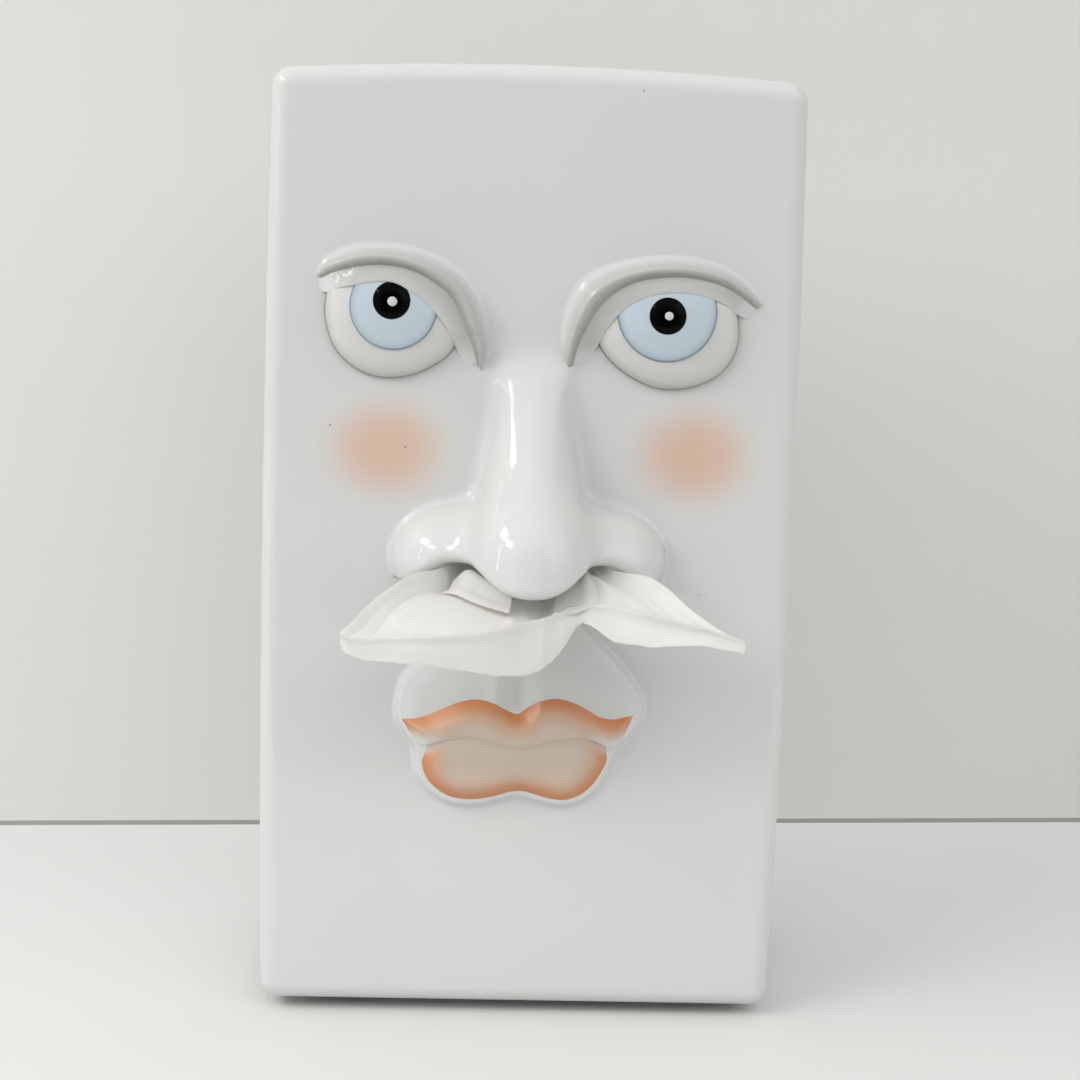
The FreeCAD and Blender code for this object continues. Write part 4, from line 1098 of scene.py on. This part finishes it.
for row in range(fan_rows):
    loose = smooth_step(*LOOSE_ROWS, row)
    crumple = CRUMPLE * (CRUMPLE_HELD + (1 - CRUMPLE_HELD) * loose)
    for column in range(fan_columns):
        over, down = column / fan_columns, row / fan_rows
        streak = 0.5 - abs(cloud(STREAKS, over, down))
        lump = cloud(LUMPS, over, down)
        wander = PLEAT_WANDER * cloud(WANDERING, over, down)
        sway = cloud(SWAYING, over, down)
        held = smooth_step(*FREE_SIDES[0], over) * smooth_step(*FREE_SIDES[1], over)
        fan[row, column, 2] += held * pleat_depth[row] * math.sin(2 * math.pi * (PLEATS * over + wander))
        fan[row, column, 2] += crumple * (CREASED_SHARE * streak + CREASED_SHARE * lump) - CRUMPLE_SINK
        fan[row, column, 1] += CRUMPLE * loose * SWAY_SHARE * sway
bead = np.exp(-((np.arange(len(fan)) - UPPER_ROWS + 1) / CREST_BEAD_ROWS) ** 2)[:, None]
fan[..., 1:] += CREST_BEAD * bead[..., None]
sheet = formed(on_face(fan[..., 0], fan[..., 1], fan[..., 2]))
fold_shares = np.linspace(0, 1, FOLD_COLUMNS)
fold_rows = np.linspace(0, 1, FOLD_ROWS)[:, None]
for top, edge, bulge, valley in INNER_FOLDS:
    fold = smooth_line(top, fold_shares)[None] * (1 - fold_rows[..., None])
    fold = fold + smooth_line(edge, fold_shares)[None] * fold_rows[..., None]
    fold[..., 2] += bulge * np.exp(-((fold_rows - BULGE_PLACE[0]) / BULGE_PLACE[1]) ** 2)
    fold[..., 2] -= valley * np.exp(-((fold_rows - VALLEY_PLACE[0]) / VALLEY_PLACE[1]) ** 2)
    layer = bpy.data.meshes.new("inner_fold")
    inner = formed(on_face(fold[..., 0], fold[..., 1], fold[..., 2]))
    inner.to_mesh(layer)
    inner.free()
    sheet.from_mesh(layer)
    bpy.data.meshes.remove(layer)
tissue = cast("drawn_tissue", sheet, tissue_finish, SHEET_CREASE)
two_ply(tissue)
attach(tissue, "tissue")
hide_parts("pulled_tissue")

# Table and wall
# A pale matt table with a pale painted wall close behind it, and a thin dark strip just in front of the
# wall's foot as painted shade where they meet.
# None of them belongs to the part. The wall shows only from its front, so that views from behind are clear.
STAGE_HALF = 3.0
WALL_TURN = 4.77
WALL_AWAY = 143.0
TABLE_COLOUR = "#e0e0df"
TABLE_EDGE = -0.30
WALL_COLOUR = "#dfdfdc"
JUNCTION_SHADE_COLOUR = "#a3a3a1"
JUNCTION_SHADE_HEIGHT = 0.8
JUNCTION_SHADE_CLEAR = 0.5


def matt(name, code):
    """Matt paint with faint broad clouds in its tone, and its shader, not yet joined to the output."""
    finish = blank(name)
    place = add(finish, "TexCoord").outputs["Object"]
    patch = add(finish, "TexNoise", {"Vector": place, "Scale": 3.0, "Detail": 3.0})
    tone = add(finish, "MapRange", {"Value": patch.outputs["Fac"], "To Min": 0.97, "To Max": 1.0})
    shade = add(finish, "Mix", {0: 1.0, 6: colour(code), 7: tone.outputs["Result"]}, data_type="RGBA",
                blend_type="MULTIPLY")
    shader = add(finish, "BsdfPrincipled", {"Base Color": shade.outputs[2], "Roughness": 0.7, "IOR": 1.4})
    return finish, shader


def seen_from_front(name, code):
    """Matt paint that shows from its front only and takes no light from the room."""
    finish, shader = matt(name, code)
    light_path = add(finish, "LightPath")
    seen = light_path.outputs["Is Camera Ray"]
    for kind in ("Is Glossy Ray", "Is Transmission Ray"):
        seen = add(finish, "Math", {0: seen, 1: light_path.outputs[kind]}, operation="MAXIMUM").outputs[0]
    front_side = add(finish, "Math", {0: 1.0, 1: add(finish, "NewGeometry").outputs["Backfacing"]},
                     operation="SUBTRACT")
    shown = add(finish, "Math", {0: seen, 1: front_side.outputs[0]}, operation="MULTIPLY")
    clear = add(finish, "BsdfTransparent")
    mixed = add(finish, "MixShader", {0: shown.outputs[0], 1: clear.outputs[0], 2: shader.outputs[0]})
    add(finish, "OutputMaterial", {"Surface": mixed.outputs[0]})
    return finish


table_finish, table_shader = matt("matt_white_table", TABLE_COLOUR)
add(table_finish, "OutputMaterial", {"Surface": table_shader.outputs[0]})
wall_finish = seen_from_front("matt_white_wall", WALL_COLOUR)
junction_shade_finish = seen_from_front("painted_shade_behind_table", JUNCTION_SHADE_COLOUR)


def flat_sheet(name, finish, place, half_height):
    """A flat sheet of the stage, as wide as the stage, laid by a place."""
    clay = bmesh.new()
    size = Matrix.Diagonal((STAGE_HALF, half_height, 1.0, 1.0))
    bmesh.ops.create_grid(clay, x_segments=1, y_segments=1, size=1.0, matrix=place @ size)
    return cast(name, clay, finish)


def upright(away, half_height):
    """The place of a sheet that stands on the table behind the cover, turned as the wall is."""
    return (Matrix.Rotation(math.radians(WALL_TURN), 4, "Z") @ Matrix.Translation((0, away * MM, half_height))
            @ Matrix.Rotation(math.pi / 2, 4, "X"))


table = flat_sheet("table", table_finish, Matrix.Translation((0, STAGE_HALF + TABLE_EDGE, 0)), STAGE_HALF)
backdrop = flat_sheet("wall", wall_finish, upright(WALL_AWAY, STAGE_HALF), STAGE_HALF)
# Painted shade: a thin dark strip at the foot of the wall stands in for the shade where table and wall meet.
junction_shade_place = upright(WALL_AWAY - JUNCTION_SHADE_CLEAR, JUNCTION_SHADE_HEIGHT * MM)
junction_shade = flat_sheet("painted_junction_shade", junction_shade_finish, junction_shade_place, JUNCTION_SHADE_HEIGHT * MM)
junction_shade.visible_glossy = False

# Light
# Soft daylight: an even pale room, dimmer in front, with a large window at the upper left, a weaker one
# at the right and soft fills. Three small bright panes at the left draw the fine highlights on the glaze.
DAYLIGHT = "#fffdfa"
LOOK_AT = Vector((0.0, -0.05, 0.14))
room = bpy.data.worlds.new("pale_room")
bpy.context.scene.world = room
room.use_nodes = True
room.node_tree.nodes.clear()
towards = add(room, "VectorMath", {0: add(room, "TexCoord").outputs["Generated"], 1: (0.0, -1.0, -0.05)},
              operation="DOT_PRODUCT")
level = add(room, "MapRange", {"Value": towards.outputs["Value"], "From Min": 0.5, "From Max": 0.93,
                               "To Min": 0.82, "To Max": 0.1}, interpolation_type="SMOOTHSTEP")
room_light = add(room, "Background", {"Color": colour("#f3f4f4"), "Strength": level.outputs["Result"]})
add(room, "OutputWorld", {"Surface": room_light.outputs[0]})


def window_light(name, place, size, power):
    """One rectangle of daylight, turned to the object."""
    lamp = bpy.data.lights.new(name, "AREA")
    lamp.shape = "RECTANGLE"
    lamp.size, lamp.size_y = size
    lamp.energy = power
    lamp.color = colour(DAYLIGHT)[:3]
    made = bpy.data.objects.new(name, lamp)
    bpy.context.collection.objects.link(made)
    made.location = place
    made.rotation_mode = "QUATERNION"
    made.rotation_quaternion = (Vector(place) - LOOK_AT).to_track_quat("Z", "Y")
    return made


for soft_light in (window_light("window", (-0.95, -0.85, 0.95), (0.8, 0.8), 6.6),
                   window_light("front_fill", (0.15, -1.20, 1.0), (1.2, 0.8), 4.8),
                   window_light("table_glow", (0.0, -0.95, 0.02), (1.2, 0.4), 1.3)):
    soft_light.visible_glossy = False
window_light("far_window", (1.15, -0.75, 0.9), (1.2, 1.0), 2.3)
window_light("left_pane", (-0.83, -0.18, 0.83), (0.32, 0.22), 1.3)
window_light("front_pane", (-0.80, -0.54, 0.80), (0.30, 0.16), 0.9)
window_light("side_pane", (-1.10, -0.35, 0.45), (0.04, 0.5), 0.4)

# Camera
# Where the photograph was taken from: a little to the left, above the middle, looking down.
CAMERA_PLACE = (-25.3, -697.5, 236.6)
LENS = 83.41
SENSOR = 36.0
TILT = 9.22
YAW = 2.5
ROLL = 1.83
camera_data = bpy.data.cameras.new("photograph_view")
camera_data.lens = LENS
camera_data.sensor_width = SENSOR
camera = bpy.data.objects.new("photograph_view", camera_data)
bpy.context.collection.objects.link(camera)
camera.matrix_world = (Matrix.Translation(Vector(CAMERA_PLACE) * MM)
                       @ Matrix.Rotation(math.radians(-YAW), 4, "Z")
                       @ Matrix.Rotation(math.radians(90 - TILT), 4, "X")
                       @ Matrix.Rotation(math.radians(ROLL), 4, "Z"))
bpy.context.scene.camera = camera
bpy.context.scene.view_settings.view_transform = "Standard"
